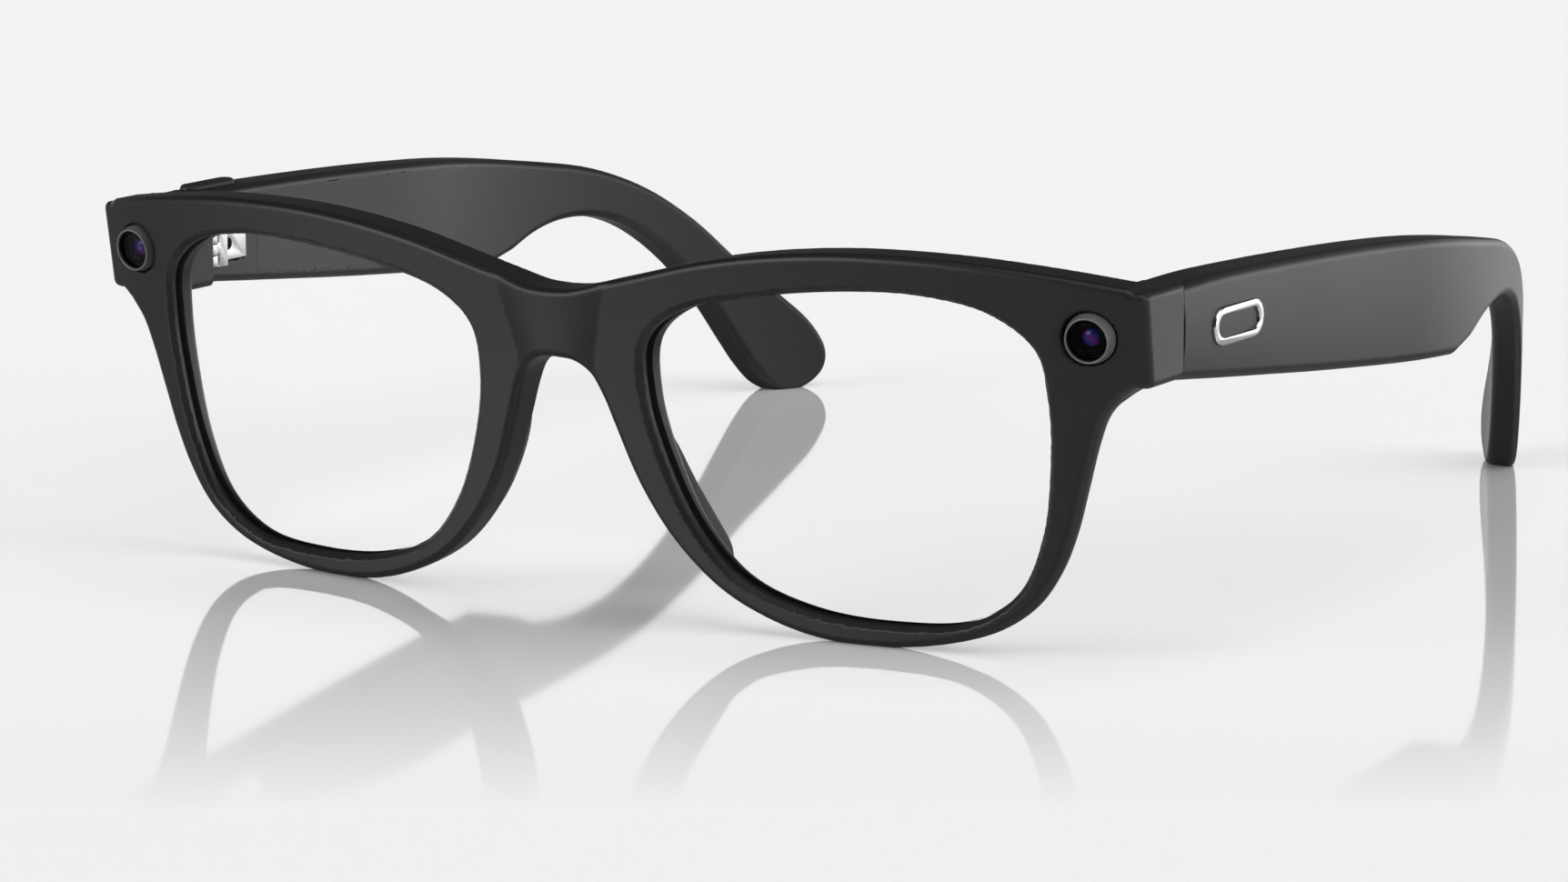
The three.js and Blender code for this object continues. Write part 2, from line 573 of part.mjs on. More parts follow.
function temple(side) {
  const isLeft = side === "left";
  const group = new THREE.Group();
  group.add(
    piece(`temple_shell_${side}`, templeShell(!isLeft), "frame"),
    piece(`temple_inner_cover_${side}`, innerCover(isLeft), "frame"),
    piece(`hinge_temple_leaf_${side}`, templeLeaf(), "steel"),
    piece(`temple_badge_${side}`, badgeRing(0, -BADGE.proud, BADGE.sink - 0.1), "badge"),
    ...armInsides(side, CELL_FROM[side]),
  );
  if (isLeft) {
    group.add(piece("power_switch_slider", powerSlider(), "pad"));
    group.add(piece("power_switch_body", powerSwitchBody(), "steel"));
  } else {
    group.add(piece("shutter_button", shutterButton(), "pad"));
    group.add(piece("shutter_switch", shutterSwitch(), "steel"));
  }
  return group;
}

function frontHalf(side) {
  const group = new THREE.Group();
  group.add(
    piece(`lens_${side}`, lens(), "lens"),
    piece(`nose_pad_${side}`, nosePad(), "pad"),
    piece(`end_cover_${side}`, endCover(), "frame"),
    piece(`hinge_front_leaf_${side}`, frontLeaf(), "steel"),
    piece(`hinge_screw_${side}`, hingeScrew(), "steel"),
    ...cameraPieces(side),
  );
  LEAF_SCREWS.forEach(([x, z], i) => {
    const screw = smallScrew(0.95).rotateX(-Math.PI / 2).translate(x, LEAF_BACK, z);
    group.add(piece(`leaf_screw_${i + 1}_${side}`, screw, "steel"));
  });
  return group;
}

// Everything that is cut from the front frame on its +X side, apart from the flex channel.
function halfCutters(reflect) {
  const around = solid(alongY(grown(OPENING_CURVE, GROOVE.depth), -12, 30));
  const groove = around.intersect(faceSlab(GROOVE.from, GROOVE.to));
  const opening = solid(alongY(OPENING_CURVE, -15, 40));
  const cutters = [groove, opening, padSeat(), ...endCutters().map(solid)];
  return reflect ? cutters.map((c) => solid(geometryOf(c).scale(-1, 1, 1))) : cutters;
}

function endBlock(sign) {
  const outline = [
    [END.inner, END.bottom + 0.6], [END.inner + 0.8, END.bottom], [END.outer - 0.8, END.bottom],
    [END.outer, END.bottom + 0.8], [END.outer, END.top - 0.8], [END.outer - 0.8, END.top],
    [END.inner + 0.8, END.top], [END.inner, END.top - 0.8],
  ].map(([x, z]) => [x * sign, z]);
  const block = alongY(sign > 0 ? outline : outline.reverse(), -12, END.back);
  return solid(block).intersect(behindFace(0.05, TILT));
}

const CONTACT = { x: 2.1, z: 35.3, width: 1.9, height: 3.4, sink: 0.9 };

// A charging contact's pad on the rear of the bridge, between two depths measured in from the rear face.
function contact(sign, grow, from, to) {
  const { x, z, width, height } = CONTACT;
  const rear = RIM_THICKNESS + z * (Math.tan(TILT) - Math.tan(REAR_TILT)) - z * Math.tan(TILT);
  return solid(alongY(stadium(sign * x, z, width + grow, height + grow), rear + from, rear + to));
}

// The front of the bridge swells forward in a low ridge.
function bridgeRidge() {
  const { half, proud, steps } = RIDGE;
  const us = Array.from({ length: steps + 1 }, (_, i) => half * ((2 * i) / steps - 1));
  const ridge = us.map((u) => [u, faceDepth(u) - proud * (1 - (u / half) ** 2)]);
  const prism = alongZ([...ridge, [half, 1], [-half, 1]], -12, 60).rotateX(TILT);
  return solid(prism).intersect(solid(alongY(OUTLINE, -15, 30)));
}

function frontFrame() {
  const rim = solid(alongY(OUTLINE, -15, 30))
    .intersect(behindFace(0, TILT))
    .subtract(behindFace(RIM_THICKNESS, REAR_TILT))
    .add(bridgeRidge());
  const body = rim.add(endBlock(1)).add(endBlock(-1));
  const under = box(-90, 90, -20, 30, -5, 0);
  const cutters = [...halfCutters(false), ...halfCutters(true), browStrip(1.1, 2.2, 3.4, 65.2)];
  const contacts = [-1, 1].map((sign) => contact(sign, 0.3, -CONTACT.sink, 3));
  return cut([...cutters, ...contacts].reduce((left, tool) => left.subtract(tool), body), under);
}

const front = new THREE.Group();
front.add(
  piece("front_frame", frontFrame(), "frame"),
  piece("brow_flex", browStrip(0.7, 2.6, 2.9, 62.4), "flex"),
  piece("charge_contact_left", contact(1, 0, -CONTACT.sink + 0.2, 0.15), "gold"),
  piece("charge_contact_right", contact(-1, 0, -CONTACT.sink + 0.2, 0.15), "gold"),
);

const left = new THREE.Group();
left.add(frontHalf("left"), temple("left"));
const right = new THREE.Group();
right.add(frontHalf("right"), temple("right"));
right.scale.x = -1;

const glasses = new THREE.Group();
glasses.add(front, left, right);
glasses.position.y = -ORIGIN_Y;

export default glasses;
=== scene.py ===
"""Looks of the smart glasses: a satin black full-rim front with a camera in each end piece, clear lenses,
wide folding temples with ear hooks, a shutter button and a power slider.

The moulded pieces are signed-distance fields, in millimetres, meshed on a grid and snapped onto the field.
"""

import json
import math

import bmesh
import bpy
import numpy as np
from mathutils import Matrix, Vector

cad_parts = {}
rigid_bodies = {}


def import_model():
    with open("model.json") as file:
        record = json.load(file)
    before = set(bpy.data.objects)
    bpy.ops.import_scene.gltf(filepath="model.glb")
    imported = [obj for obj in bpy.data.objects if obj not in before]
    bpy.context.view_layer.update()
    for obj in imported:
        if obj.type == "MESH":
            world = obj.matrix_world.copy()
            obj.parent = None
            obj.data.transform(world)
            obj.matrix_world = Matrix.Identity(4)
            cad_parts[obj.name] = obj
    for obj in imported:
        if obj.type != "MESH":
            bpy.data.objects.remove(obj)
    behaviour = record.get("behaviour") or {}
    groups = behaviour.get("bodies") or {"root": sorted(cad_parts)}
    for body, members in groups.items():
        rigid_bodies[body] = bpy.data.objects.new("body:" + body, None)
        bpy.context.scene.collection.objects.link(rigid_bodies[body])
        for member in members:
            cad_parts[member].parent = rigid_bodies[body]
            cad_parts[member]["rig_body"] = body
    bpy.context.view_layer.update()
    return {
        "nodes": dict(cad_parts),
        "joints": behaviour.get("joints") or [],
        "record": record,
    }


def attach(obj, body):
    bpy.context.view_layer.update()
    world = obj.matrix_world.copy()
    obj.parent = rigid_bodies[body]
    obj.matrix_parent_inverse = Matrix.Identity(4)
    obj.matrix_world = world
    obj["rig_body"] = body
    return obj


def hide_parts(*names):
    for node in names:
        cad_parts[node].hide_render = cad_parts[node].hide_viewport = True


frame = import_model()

MM = 0.001
DEG = math.pi / 180
# Grid steps of the moulded pieces, mm.
FINE = 0.3
PAD_STEP = 0.3
LENS_STEP = 0.5
KEY_STEP = 0.2
SLIDER_STEP = 0.15

# ------------------------------------------------------------------ driving dimensions, mm
TILT = 8.5 * DEG
REAR_TILT = 6.2 * DEG
FACE_BEND = (1.15e-3, 1.25e-7)
RIM_THICKNESS = 3.7
FRONT_EDGE = 1.0  # fillet round the front of the outline
# The rear fillet is large round the rims and small on the brow and nose, and changes between two
# places, each given as a height and a distance across.
REAR_EDGE = {"rims": 3.1, "high": 0.4, "from": (29.5, 16.0), "to": (31.5, 24.0)}
FACE_CHAMFER = 0.6  # round the openings' front edge
OPENING_FILLET = 1.0  # round the openings' rear edge
RIDGE = {"low": (31.0, 5.2), "high": (39.0, 7.2), "proud": 0.85}  # down the front of the bridge
END = {"inner": 60.4, "outer": 71.5, "back": 12.1, "top": 42.6, "bottom": 31.9, "corner": 0.9}
SHARP = 0.06  # the radius left on an edge that looks sharp
CAMERA = {
    "place": (65.4, 0.75, 37.3), "yaw": 7 * DEG, "pitch": 7 * DEG,
    "bore": 3.0, "depth": 6.0, "scoop_edge": 0.3,
    "scoop": (2.95, 0.9),  # its radius at its foot, and how far down that is
}
RELIEF = ((59.4, 10.5, 30.9), (66.4, 13.1, 43.6))  # cleared round the hinge's knuckles
POCKET = ((61.9, 6.2, 33.5), (69.8, 20.0, 41.4))
MODULE_ROOM = ((61.9, 3.6, 34.7), (68.1, 7.2, 41.4))
HINGE_Y = 12.7
ARM = {
    "front": 12.18, "outer_edge": 1.1, "inner_edge": 1.0,
    "thick": 6.2, "thin_by": 2.0, "thins": (60.0, 120.0),  # between these two places
    "crown": 0.3, "crown_fades": (65.0, 95.0),
}
BOW = {"x": 71.55, "y": 12.0, "flare": 0.038, "bend_from": 70.0, "radius": 130.0}
WINDOW = (25.2, 92.0)
COVER = {
    "margin": 1.0, "proud": 0.03, "thick": 1.0, "corner": 1.2,
    "mouth_margin": 1.7, "mouth_depth": 1.2, "mouth_edge": 0.03,
}
LEAF_SEAT = ((60.0, 9.6, 33.4), (66.3, 23.6, 41.3))
BUTTON = {
    "x": 69.2, "y": 20.8, "length": 9.4, "width": 2.6, "top": 43.1, "bottom": 40.6, "edge": 0.55,
    "gap": 0.15, "seat_floor": 40.0, "seat_edge": 0.25,
}
SWITCH = {
    "y": 31.5, "z": 36.4, "travel": 2.0, "length": 3.4, "width": 1.6, "play": 0.4,
    "proud": 0.55, "depth": 1.6, "edge": 0.3,
    "ridge": 0.07, "ridge_foot": 0.5, "ridge_pitch": 0.8, "ridged_half": 1.2,
}
SMALL_EDGE = 0.15  # round the mouths of the temple's small openings
UNDERSIDE_IN = 3.0  # from the temple's outer face to the openings in its underside
GRILLE = {"y": 71.0, "length": 9.6, "width": 1.5, "depth": 0.4}
MICROPHONE = {"y": 40.0, "radius": 0.4, "depth": 2.0}
PAD = {
    "low": 6.5, "high": 24.4, "ends": 0.9, "middle": 2.4, "lean": 0.3, "from": 1.4, "across": 34.0,
    "nose_edge": 0.7, "lens_edge": 0.3, "end_edge": 0.6,
}
PAD_REAR = [(6.5, 5.0), (9, 7.3), (12, 8.1), (16, 8.3), (20, 8.2), (22, 7.6), (24.4, 5.9)]
PAD_SLOPE = 1.0  # the pad's rear face drops by this much for each millimetre away from the nose
LENS = {"bite": 0.3, "middle": 2.0, "half": 0.8}  # the bite is how far it runs into its groove
# The lens gap strip is painted shade: a black band standing for the shadow in the groove round each lens.
LENS_GAP_SHADE = {"raised": 0.12, "depths": (1.5, 2.5)}  # a dark strip just inside the opening
CONTACT = {"x": 2.1, "z": 35.3, "width": 1.9, "height": 3.4, "gap": 0.15, "depth": 0.9}

# Half of the front's outline, across and up the leaning face.
BROW = [
    (0, 39.2), (3, 39.4), (7, 40.4), (12, 41.7), (19.5, 43.6), (28, 45), (38, 45.7), (50, 45.3), (61, 43.9),
    (70.9, 42),
]
END_CURVE = [(71.5, 41), (71.6, 37), (71.4, 33), (70.4, 31.5)]
RIM = [
    (68, 29.9), (66.1, 27.6), (64.9, 24.5), (63.5, 19.4), (62, 14), (60.2, 9.6), (57.4, 5.5), (53.2, 2.5),
    (47.4, 0.6), (39, -0.45), (31, 0), (24.4, 1.9), (18.8, 4.9), (13.4, 10.2), (9.5, 16.6), (6.8, 23.6),
    (5.5, 27.2), (4.3, 29.5), (2.4, 30.8), (0, 31.1),
]
OPENING = [
    (38, 41.3), (47, 41.1), (54.4, 39.2), (59.1, 35.2), (60.1, 29.5), (59.9, 22), (58.5, 13.6), (55.4, 7),
    (49.6, 3.2), (40, 2.3), (29.5, 3.3), (21.5, 6.4), (16.5, 12.1), (13.2, 19.6), (11.4, 27.5), (12, 33.8),
    (16.2, 37.5), (26, 40),
]
# The temple in side view, back and up: top edge, lower edge and ear hook.
ARM_TOP = [(12.4, 42.4), (20, 42.5), (31, 42.2), (45, 41.6), (59, 40.8), (75, 39.5), (90, 37.5)]
ARM_BOTTOM = [(12.4, 31.7), (22, 30.5), (33, 29.2), (44, 27.9), (56, 26.6), (68, 25.4), (81, 24.4)]
HOOK = [
    (104, 35), (114, 31.2), (122, 25.9), (129, 19.3), (135.2, 13.8), (139.6, 9.2), (141.5, 5.2), (141.0, 2.2),
    (138.6, 0.1), (135.6, -0.4), (133, 0.9), (130.6, 3.7), (128.2, 7.4), (124.5, 13.2), (119.5, 19.4),
    (113.8, 24.2), (108.5, 27), (102, 28.5), (96, 28.4), (91, 27.3), (86.7, 25.7),
]


def joint(name):
    return next(j for j in frame["joints"] if j["name"] == name)


# The fields use a Y that starts at the bridge; this moves them into the frame.
SHIFT_Y = joint("left_temple_fold")["pos_m"][1] / MM - HINGE_Y


# ------------------------------------------------------------------ curves
def curve(points, steps=16, closed=False):
    """A centripetal Catmull-Rom curve through the points."""
    p = np.array(points, float)
    if closed:
        p = np.concatenate([p[-1:], p, p[:2]])
    else:
        p = np.concatenate([[2 * p[0] - p[1]], p, [2 * p[-1] - p[-2]]])
    out = []
    t = np.linspace(0, 1, steps, endpoint=False)[:, None]
    for a, b, c, d in zip(p, p[1:], p[2:], p[3:]):
        d0, d1, d2 = (max(1e-6, math.hypot(*(v - u)) ** 0.5) for u, v in ((a, b), (b, c), (c, d)))
        start = ((b - a) / d0 - (c - a) / (d0 + d1) + (c - b) / d1) * d1
        end = ((c - b) / d1 - (d - b) / (d1 + d2) + (d - c) / d2) * d1
        cubic = 2 * b - 2 * c + start + end
        square = -3 * b + 3 * c - 2 * start - end
        out.append(b + start * t + square * t**2 + cubic * t**3)
    if not closed:
        out.append(p[-2:-1])
    return np.concatenate(out)


def smooth(t):
    """Rises gently from 0 to 1 as t does, and holds outside that range."""
    t = np.clip(t, 0, 1)
    return t * t * (3 - 2 * t)


def bend(x):
    return FACE_BEND[0] * x**2 + FACE_BEND[1] * x**4


def bend_slope(x):
    return 2 * FACE_BEND[0] * x + 4 * FACE_BEND[1] * x**3


def upright(points):
    """Where points of the leaning face stand in front view."""
    u, v = points[:, 0], points[:, 1]
    return np.stack([u, v * math.cos(TILT) + bend(u) * math.sin(TILT)], 1)


def outline_distance(a, b, polygon):
    """Signed distance to a closed polygon, negative inside."""
    shape = np.broadcast(a, b).shape
    a = np.broadcast_to(a, shape).ravel()
    b = np.broadcast_to(b, shape).ravel()
    best = np.full(a.shape, 1e9)
    inside = np.zeros(a.shape, bool)
    for (pa, pb), (qa, qb) in zip(polygon, np.roll(polygon, -1, 0)):
        ea, eb = qa - pa, qb - pb
        t = np.clip(((a - pa) * ea + (b - pb) * eb) / max(1e-12, ea * ea + eb * eb), 0, 1)
        best = np.minimum(best, (a - pa - t * ea) ** 2 + (b - pb - t * eb) ** 2)
        if pb != qb:
            inside ^= ((pb > b) != (qb > b)) & (a < pa + (b - pb) * ea / eb)
    return (np.sqrt(best) * np.where(inside, -1, 1)).reshape(shape)


HALF = np.concatenate([curve(BROW, 6)[:-1], curve(END_CURVE, 4)[:-1], curve(RIM, 6)])
FRONT_OUTLINE = upright(HALF)
FRONT_OUTLINE = np.concatenate([FRONT_OUTLINE, FRONT_OUTLINE[-2:0:-1] * (-1, 1)])
FRONT_OPENING = curve([tuple(p) for p in upright(np.array(OPENING, float))], 8, closed=True)
ARM_EDGE_TOP = curve(ARM_TOP + HOOK[:2], 8)
ARM_EDGE_BOTTOM = curve(ARM_BOTTOM + HOOK[:-4:-1], 8)
ARM_OUTLINE = np.concatenate(
    [[(0.0, ARM_TOP[0][1])], curve(ARM_TOP + HOOK, 6), curve(ARM_BOTTOM, 4)[::-1], [(0.0, ARM_BOTTOM[0][1])]]
)


# ------------------------------------------------------------------ fields: joining and cutting
def both(a, b, radius=0.0):
    """Where two solids overlap, with a round edge between them."""
    corner = np.hypot(np.maximum(a + radius, 0), np.maximum(b + radius, 0))
    return np.minimum(np.maximum(a, b), -radius) + corner


def either(a, b, radius=0.0):
    return -both(-a, -b, radius)


def less(a, b, radius=0.0):
    return both(a, -b, radius)


def chamfered(a, b, size):
    """Two faces' overlap with a flat chamfer that is size wide along each face."""
    return np.maximum(np.maximum(a, b), (a + b + size) * math.sqrt(0.5))


def box_field(p, corners):
    lo, hi = corners
    x, y, z = (np.maximum(l - q, q - h) for q, l, h in zip(p, lo, hi))
    return np.maximum(np.maximum(x, y), z)


def stadium_field(a, b, width, length):
    """A slot with round ends, long along b, about the origin."""
    straight = (length - width) / 2
    return np.hypot(a, b - np.clip(b, -straight, straight)) - width / 2


def rounded_box(a, b, half_a, half_b, radius):
    da, db = np.abs(a) - half_a + radius, np.abs(b) - half_b + radius
    outside = np.hypot(np.maximum(da, 0), np.maximum(db, 0))
    return outside + np.minimum(np.maximum(da, db), 0) - radius


# ------------------------------------------------------------------ fields: meshing
def snapped(points, field):
    """Moves points onto the field's zero surface; returns them and the field's unit gradient there."""
    def slope(p, h):
        parts = []
        for axis in np.eye(3):
            parts.append((field(*(p + h * axis).T) - field(*(p - h * axis).T)) / (2 * h))
        return np.stack(parts, 1)

    for _ in range(2):
        g = slope(points, 0.02)
        size = np.maximum((g**2).sum(1), 0.25)
        step = np.clip(field(*points.T) / size, -FINE, FINE)
        points = points - step[:, None] * g
    g = slope(points, 0.05)
    return points, g / np.maximum(np.linalg.norm(g, axis=1), 1e-9)[:, None]


def surface(field, lo, hi, step):
    """Surface nets: one vertex in each grid cell that the surface crosses, then snapped onto the field."""
    counts = [int(math.ceil((h - l) / step)) + 1 for l, h in zip(lo, hi)]
    axes = [l + step * np.arange(n) for l, n in zip(lo, counts)]
    grid = field(axes[0][:, None, None], axes[1][None, :, None], axes[2][None, None, :])
    grid = np.ascontiguousarray(np.broadcast_to(grid, counts)).astype(np.float32)
    inside = grid < 0
    corners = [(i, j, k) for i in (0, 1) for j in (0, 1) for k in (0, 1)]
    n = [c - 1 for c in counts]
    total = sum(inside[i:n[0] + i, j:n[1] + j, k:n[2] + k].astype(np.int8) for i, j, k in corners)
    cells = np.argwhere((total > 0) & (total < 8))
    value = {c: grid[tuple((cells + c).T)] for c in corners}
    place = np.zeros((len(cells), 3))
    crossings = np.zeros(len(cells))
    for a in corners:
        for axis in range(3):
            if a[axis]:
                continue
            b = tuple(v + (i == axis) for i, v in enumerate(a))
            va, vb = value[a], value[b]
            hit = (va < 0) != (vb < 0)
            t = np.where(hit, va / np.where(hit, va - vb, 1), 0)
            point = np.array(a, float) + t[:, None] * (np.array(b) - a)
            place += point * hit[:, None]
            crossings += hit
    points = np.array(lo) + step * (cells + place / crossings[:, None])
    number = np.full(n, -1, np.int32)
    number[tuple(cells.T)] = np.arange(len(cells))
    quads = []
    for axis in range(3):
        u, v = [i for i in range(3) if i != axis]
        here = [slice(1, m) for m in n]
        here[axis] = slice(0, n[axis])
        ahead = list(here)
        ahead[axis] = slice(1, n[axis] + 1)
        first, second = inside[tuple(here)], inside[tuple(ahead)]
        at = np.argwhere(first != second) + [0 if i == axis else 1 for i in range(3)]
        leaves = inside[tuple(at.T)]
        ring = []
        for du, dv in ((-1, -1), (0, -1), (0, 0), (-1, 0)):
            move = np.zeros(3, int)
            move[u], move[v] = du, dv
            ring.append(number[tuple((at + move).T)])
        quad = np.stack(ring, 1)
        turned = leaves if axis != 1 else ~leaves
        quads.append(np.where(turned[:, None], quad, quad[:, ::-1]))
    points, normals = snapped(points, field)
    return points, normals, np.concatenate(quads)


def field_object(name, field, lo, hi, step, mirror=False):
    points, normals, quads = surface(field, lo, hi, step)
    flip = np.array([-1.0 if mirror else 1.0, 1, 1])
    points = (points * flip + (0, SHIFT_Y, 0)) * MM
    mesh = bpy.data.meshes.new(name)
    mesh.from_pydata(points.tolist(), [], (quads[:, ::-1] if mirror else quads).tolist())
    mesh.validate()
    mesh.shade_smooth()
    mesh.normals_split_custom_set_from_vertices((normals * flip).tolist())
    made = bpy.data.objects.new(name, mesh)
    bpy.context.scene.collection.objects.link(made)
    return made


# ------------------------------------------------------------------ the front
def face_field(x, y, z):
    """Distance in front of the bent, leaning face and of the ridge down its bridge."""
    depth = y * math.cos(TILT) + z * math.sin(TILT) - bend(x)
    (low, narrow), (high, wide) = RIDGE["low"], RIDGE["high"]
    half = narrow + (wide - narrow) * np.clip((z - low) / (high - low), 0, 1)
    swell = RIDGE["proud"] * (1 - (x / half) ** 2)
    face = -depth / np.sqrt(1 + bend_slope(x) ** 2)
    return either(face, -depth - swell, SHARP)


def rear_field(x, y, z):
    depth = y * math.cos(REAR_TILT) + z * math.sin(REAR_TILT) - bend(x) - RIM_THICKNESS
    return depth / np.sqrt(1 + bend_slope(x) ** 2)


def on_camera(x, y, z):
    """Distance from the camera's axis and height along it, nose forward."""
    yaw, pitch = CAMERA["yaw"], CAMERA["pitch"]
    cx, cy, cz = CAMERA["place"]
    axis = (math.cos(pitch) * math.sin(yaw), -math.cos(pitch) * math.cos(yaw), -math.sin(pitch))
    dx, dy, dz = np.abs(x) - cx, y - cy, z - cz
    height = dx * axis[0] + dy * axis[1] + dz * axis[2]
    return np.sqrt(np.maximum(dx**2 + dy**2 + dz**2 - height**2, 0)), height


def front_field(x, y, z):
    across = np.abs(x)
    edge = np.maximum(outline_distance(across, z, FRONT_OUTLINE), across - END["outer"])
    hole = -outline_distance(across, z, FRONT_OPENING)
    face = face_field(x, y, z)
    rear = rear_field(x, y, z)
    (low, nasal), (high, rim) = REAR_EDGE["from"], REAR_EDGE["to"]
    below = smooth((high - z) / (high - low)) * smooth((across - nasal) / (rim - nasal))
    rear_edge = REAR_EDGE["high"] + (REAR_EDGE["rims"] - REAR_EDGE["high"]) * below
    plate = np.maximum(both(edge, face, FRONT_EDGE), both(edge, rear, rear_edge))
    plate = both(plate, chamfered(face, hole, FACE_CHAMFER))
    plate = np.maximum(plate, both(rear, hole, OPENING_FILLET))
    mid_x, mid_z = (END["inner"] + END["outer"]) / 2, (END["top"] + END["bottom"]) / 2
    half_x, half_z = (END["outer"] - END["inner"]) / 2, (END["top"] - END["bottom"]) / 2
    block = rounded_box(across - mid_x, z - mid_z, half_x, half_z, END["corner"])
    block = both(both(block, face, END["corner"]), y - END["back"], SHARP)
    body = np.minimum(plate, block)
    radius, height = on_camera(x, y, z)
    body = less(body, np.maximum(radius - CAMERA["bore"], -CAMERA["depth"] - height))
    foot, start = CAMERA["scoop"]
    cone = np.maximum((radius - foot - (height + start)) * math.sqrt(0.5), -start - height)
    body = less(body, cone, CAMERA["scoop_edge"])
    for room in (POCKET, MODULE_ROOM, RELIEF):
        body = less(body, box_field((across, y, z), room))
    play = 2 * CONTACT["gap"]
    contact = stadium_field(
        across - CONTACT["x"], z - CONTACT["z"], CONTACT["width"] + play, CONTACT["height"] + play
    )
    body = less(body, np.maximum(contact, -CONTACT["depth"] - rear))
    return np.maximum(body, -z)


def pad_field(x, y, z):
    """The nose pad: a soft ridge behind the nasal edge of the rim, wider and deeper half way up."""
    depth = y * math.cos(TILT) + z * math.sin(TILT) - bend(x)
    t = np.clip((z - PAD["low"]) / (PAD["high"] - PAD["low"]), 0, 1)
    wide = PAD["ends"] + (PAD["middle"] - PAD["ends"]) * np.sin(math.pi * t)
    lean = PAD["lean"] * np.maximum(depth - PAD["from"], 0)
    edge = outline_distance(x - lean, z, NASAL_EDGE)
    reach = np.interp(z, PAD_CURVE[:, 0], PAD_CURVE[:, 1])
    rear = (depth - reach - PAD_SLOPE * edge) / math.hypot(1, PAD_SLOPE)
    ridge = both(edge, rear, PAD["nose_edge"])
    ridge = both(ridge, -wide - edge, PAD["lens_edge"])
    ends = np.maximum(PAD["low"] - z, z - PAD["high"])
    return both(np.maximum(ridge, PAD["from"] - depth), ends, PAD["end_edge"])


PAD_CURVE = curve(PAD_REAR, 10)
# The rim's edge along the nose, closed well above the pad.
NASAL_EDGE = upright(curve(RIM, 6))
NASAL_EDGE = NASAL_EDGE[NASAL_EDGE[:, 0] < PAD["across"]]
NASAL_EDGE = np.concatenate([NASAL_EDGE, [(0, 60), (PAD["across"], 60)]])


def lens_field(x, y, z):
    edge = outline_distance(x, z, FRONT_OPENING)
    depth = (y * math.cos(TILT) + z * math.sin(TILT) - bend(x)) / np.sqrt(1 + bend_slope(x) ** 2)
    return np.maximum(edge - LENS["bite"], np.abs(depth - LENS["middle"]) - LENS["half"])


# ------------------------------------------------------------------ the temples
def outer_x(y):
    t = np.clip(y - BOW["bend_from"], 0, BOW["radius"] * 0.95)
    sag = BOW["radius"] - np.sqrt(BOW["radius"] ** 2 - t**2)
    return BOW["x"] + BOW["flare"] * (y - BOW["y"]) - sag


def thickness(y):
    start, end = ARM["thins"]
    return ARM["thick"] - ARM["thin_by"] * smooth((y - start) / (end - start))


def arm_faces(x, y, z=None):
    """Distances outside the outer and inner faces; given z, the outer face is crowned a little."""
    step = 0.05
    slope = (outer_x(y + step) - outer_x(y - step)) / (2 * step)
    flat = 1 / np.sqrt(1 + slope**2)
    crown = 0
    if z is not None:
        middle, half = (top_z(y) + bottom_z(y)) / 2, (top_z(y) - bottom_z(y)) / 2
        start, end = ARM["crown_fades"]
        fade = np.clip((end - y) / (end - start), 0, 1)
        crown = ARM["crown"] * np.clip((z - middle) / half, -1, 1) ** 2 * fade
    return (x - outer_x(y) + crown) * flat, (outer_x(y) - thickness(y) - x) * flat


def top_z(y):
    return np.interp(y, ARM_EDGE_TOP[:, 0], ARM_EDGE_TOP[:, 1])


def bottom_z(y):
    return np.interp(y, ARM_EDGE_BOTTOM[:, 0], ARM_EDGE_BOTTOM[:, 1])


def window_field(y, z, margin):
    """The stretch of the arm that the inner cover closes, drawn in by a margin."""
    ends = np.maximum(WINDOW[0] - y, y - WINDOW[1])
    sides = np.maximum(bottom_z(y) - z, z - top_z(y))
    return both(ends, sides, COVER["corner"]) + margin


def arm_field(x, y, z, has_button):
    edge = outline_distance(y, z, ARM_OUTLINE)
    outer, inner = arm_faces(x, y, z)
    body = np.maximum(both(edge, outer, ARM["outer_edge"]), both(edge, inner, ARM["inner_edge"]))
    body = both(body, ARM["front"] - y, SHARP)
    mouth = np.maximum(window_field(y, z, COVER["mouth_margin"]), -inner - COVER["mouth_depth"])
    body = less(body, mouth, COVER["mouth_edge"])
    body = less(body, box_field((x, y, z), LEAF_SEAT))
    slot_x = x - (outer_x(GRILLE["y"]) - UNDERSIDE_IN)
    slot = stadium_field(slot_x, y - GRILLE["y"], GRILLE["width"], GRILLE["length"])
    body = less(body, np.maximum(slot, z - bottom_z(GRILLE["y"]) - GRILLE["depth"]), SMALL_EDGE)
    port_x = x - (outer_x(MICROPHONE["y"]) - UNDERSIDE_IN)
    port = np.hypot(port_x, y - MICROPHONE["y"]) - MICROPHONE["radius"]
    body = less(body, np.maximum(port, z - bottom_z(MICROPHONE["y"]) - MICROPHONE["depth"]), SMALL_EDGE)
    if has_button:
        gap = 2 * BUTTON["gap"]
        seat = stadium_field(x - BUTTON["x"], y - BUTTON["y"], BUTTON["width"] + gap, BUTTON["length"] + gap)
        body = less(body, np.maximum(seat, BUTTON["seat_floor"] - z), BUTTON["seat_edge"])
    return np.maximum(body, -z)


def cover_field(x, y, z, has_switch):
    _, inner = arm_faces(x, y)
    body = both(window_field(y, z, COVER["margin"]), inner - COVER["proud"], COVER["proud"])
    body = np.maximum(body, -COVER["thick"] - inner)
    if has_switch:
        length = SWITCH["length"] + SWITCH["travel"] + SWITCH["play"]
        slot = stadium_field(z - SWITCH["z"], y - SWITCH["y"], SWITCH["width"] + SWITCH["play"], length)
        body = less(body, slot, SMALL_EDGE)
    return body


def button_field(x, y, z):
    side = stadium_field(x - BUTTON["x"], y - BUTTON["y"], BUTTON["width"], BUTTON["length"])
    return np.maximum(both(side, z - BUTTON["top"], BUTTON["edge"]), BUTTON["bottom"] - z)


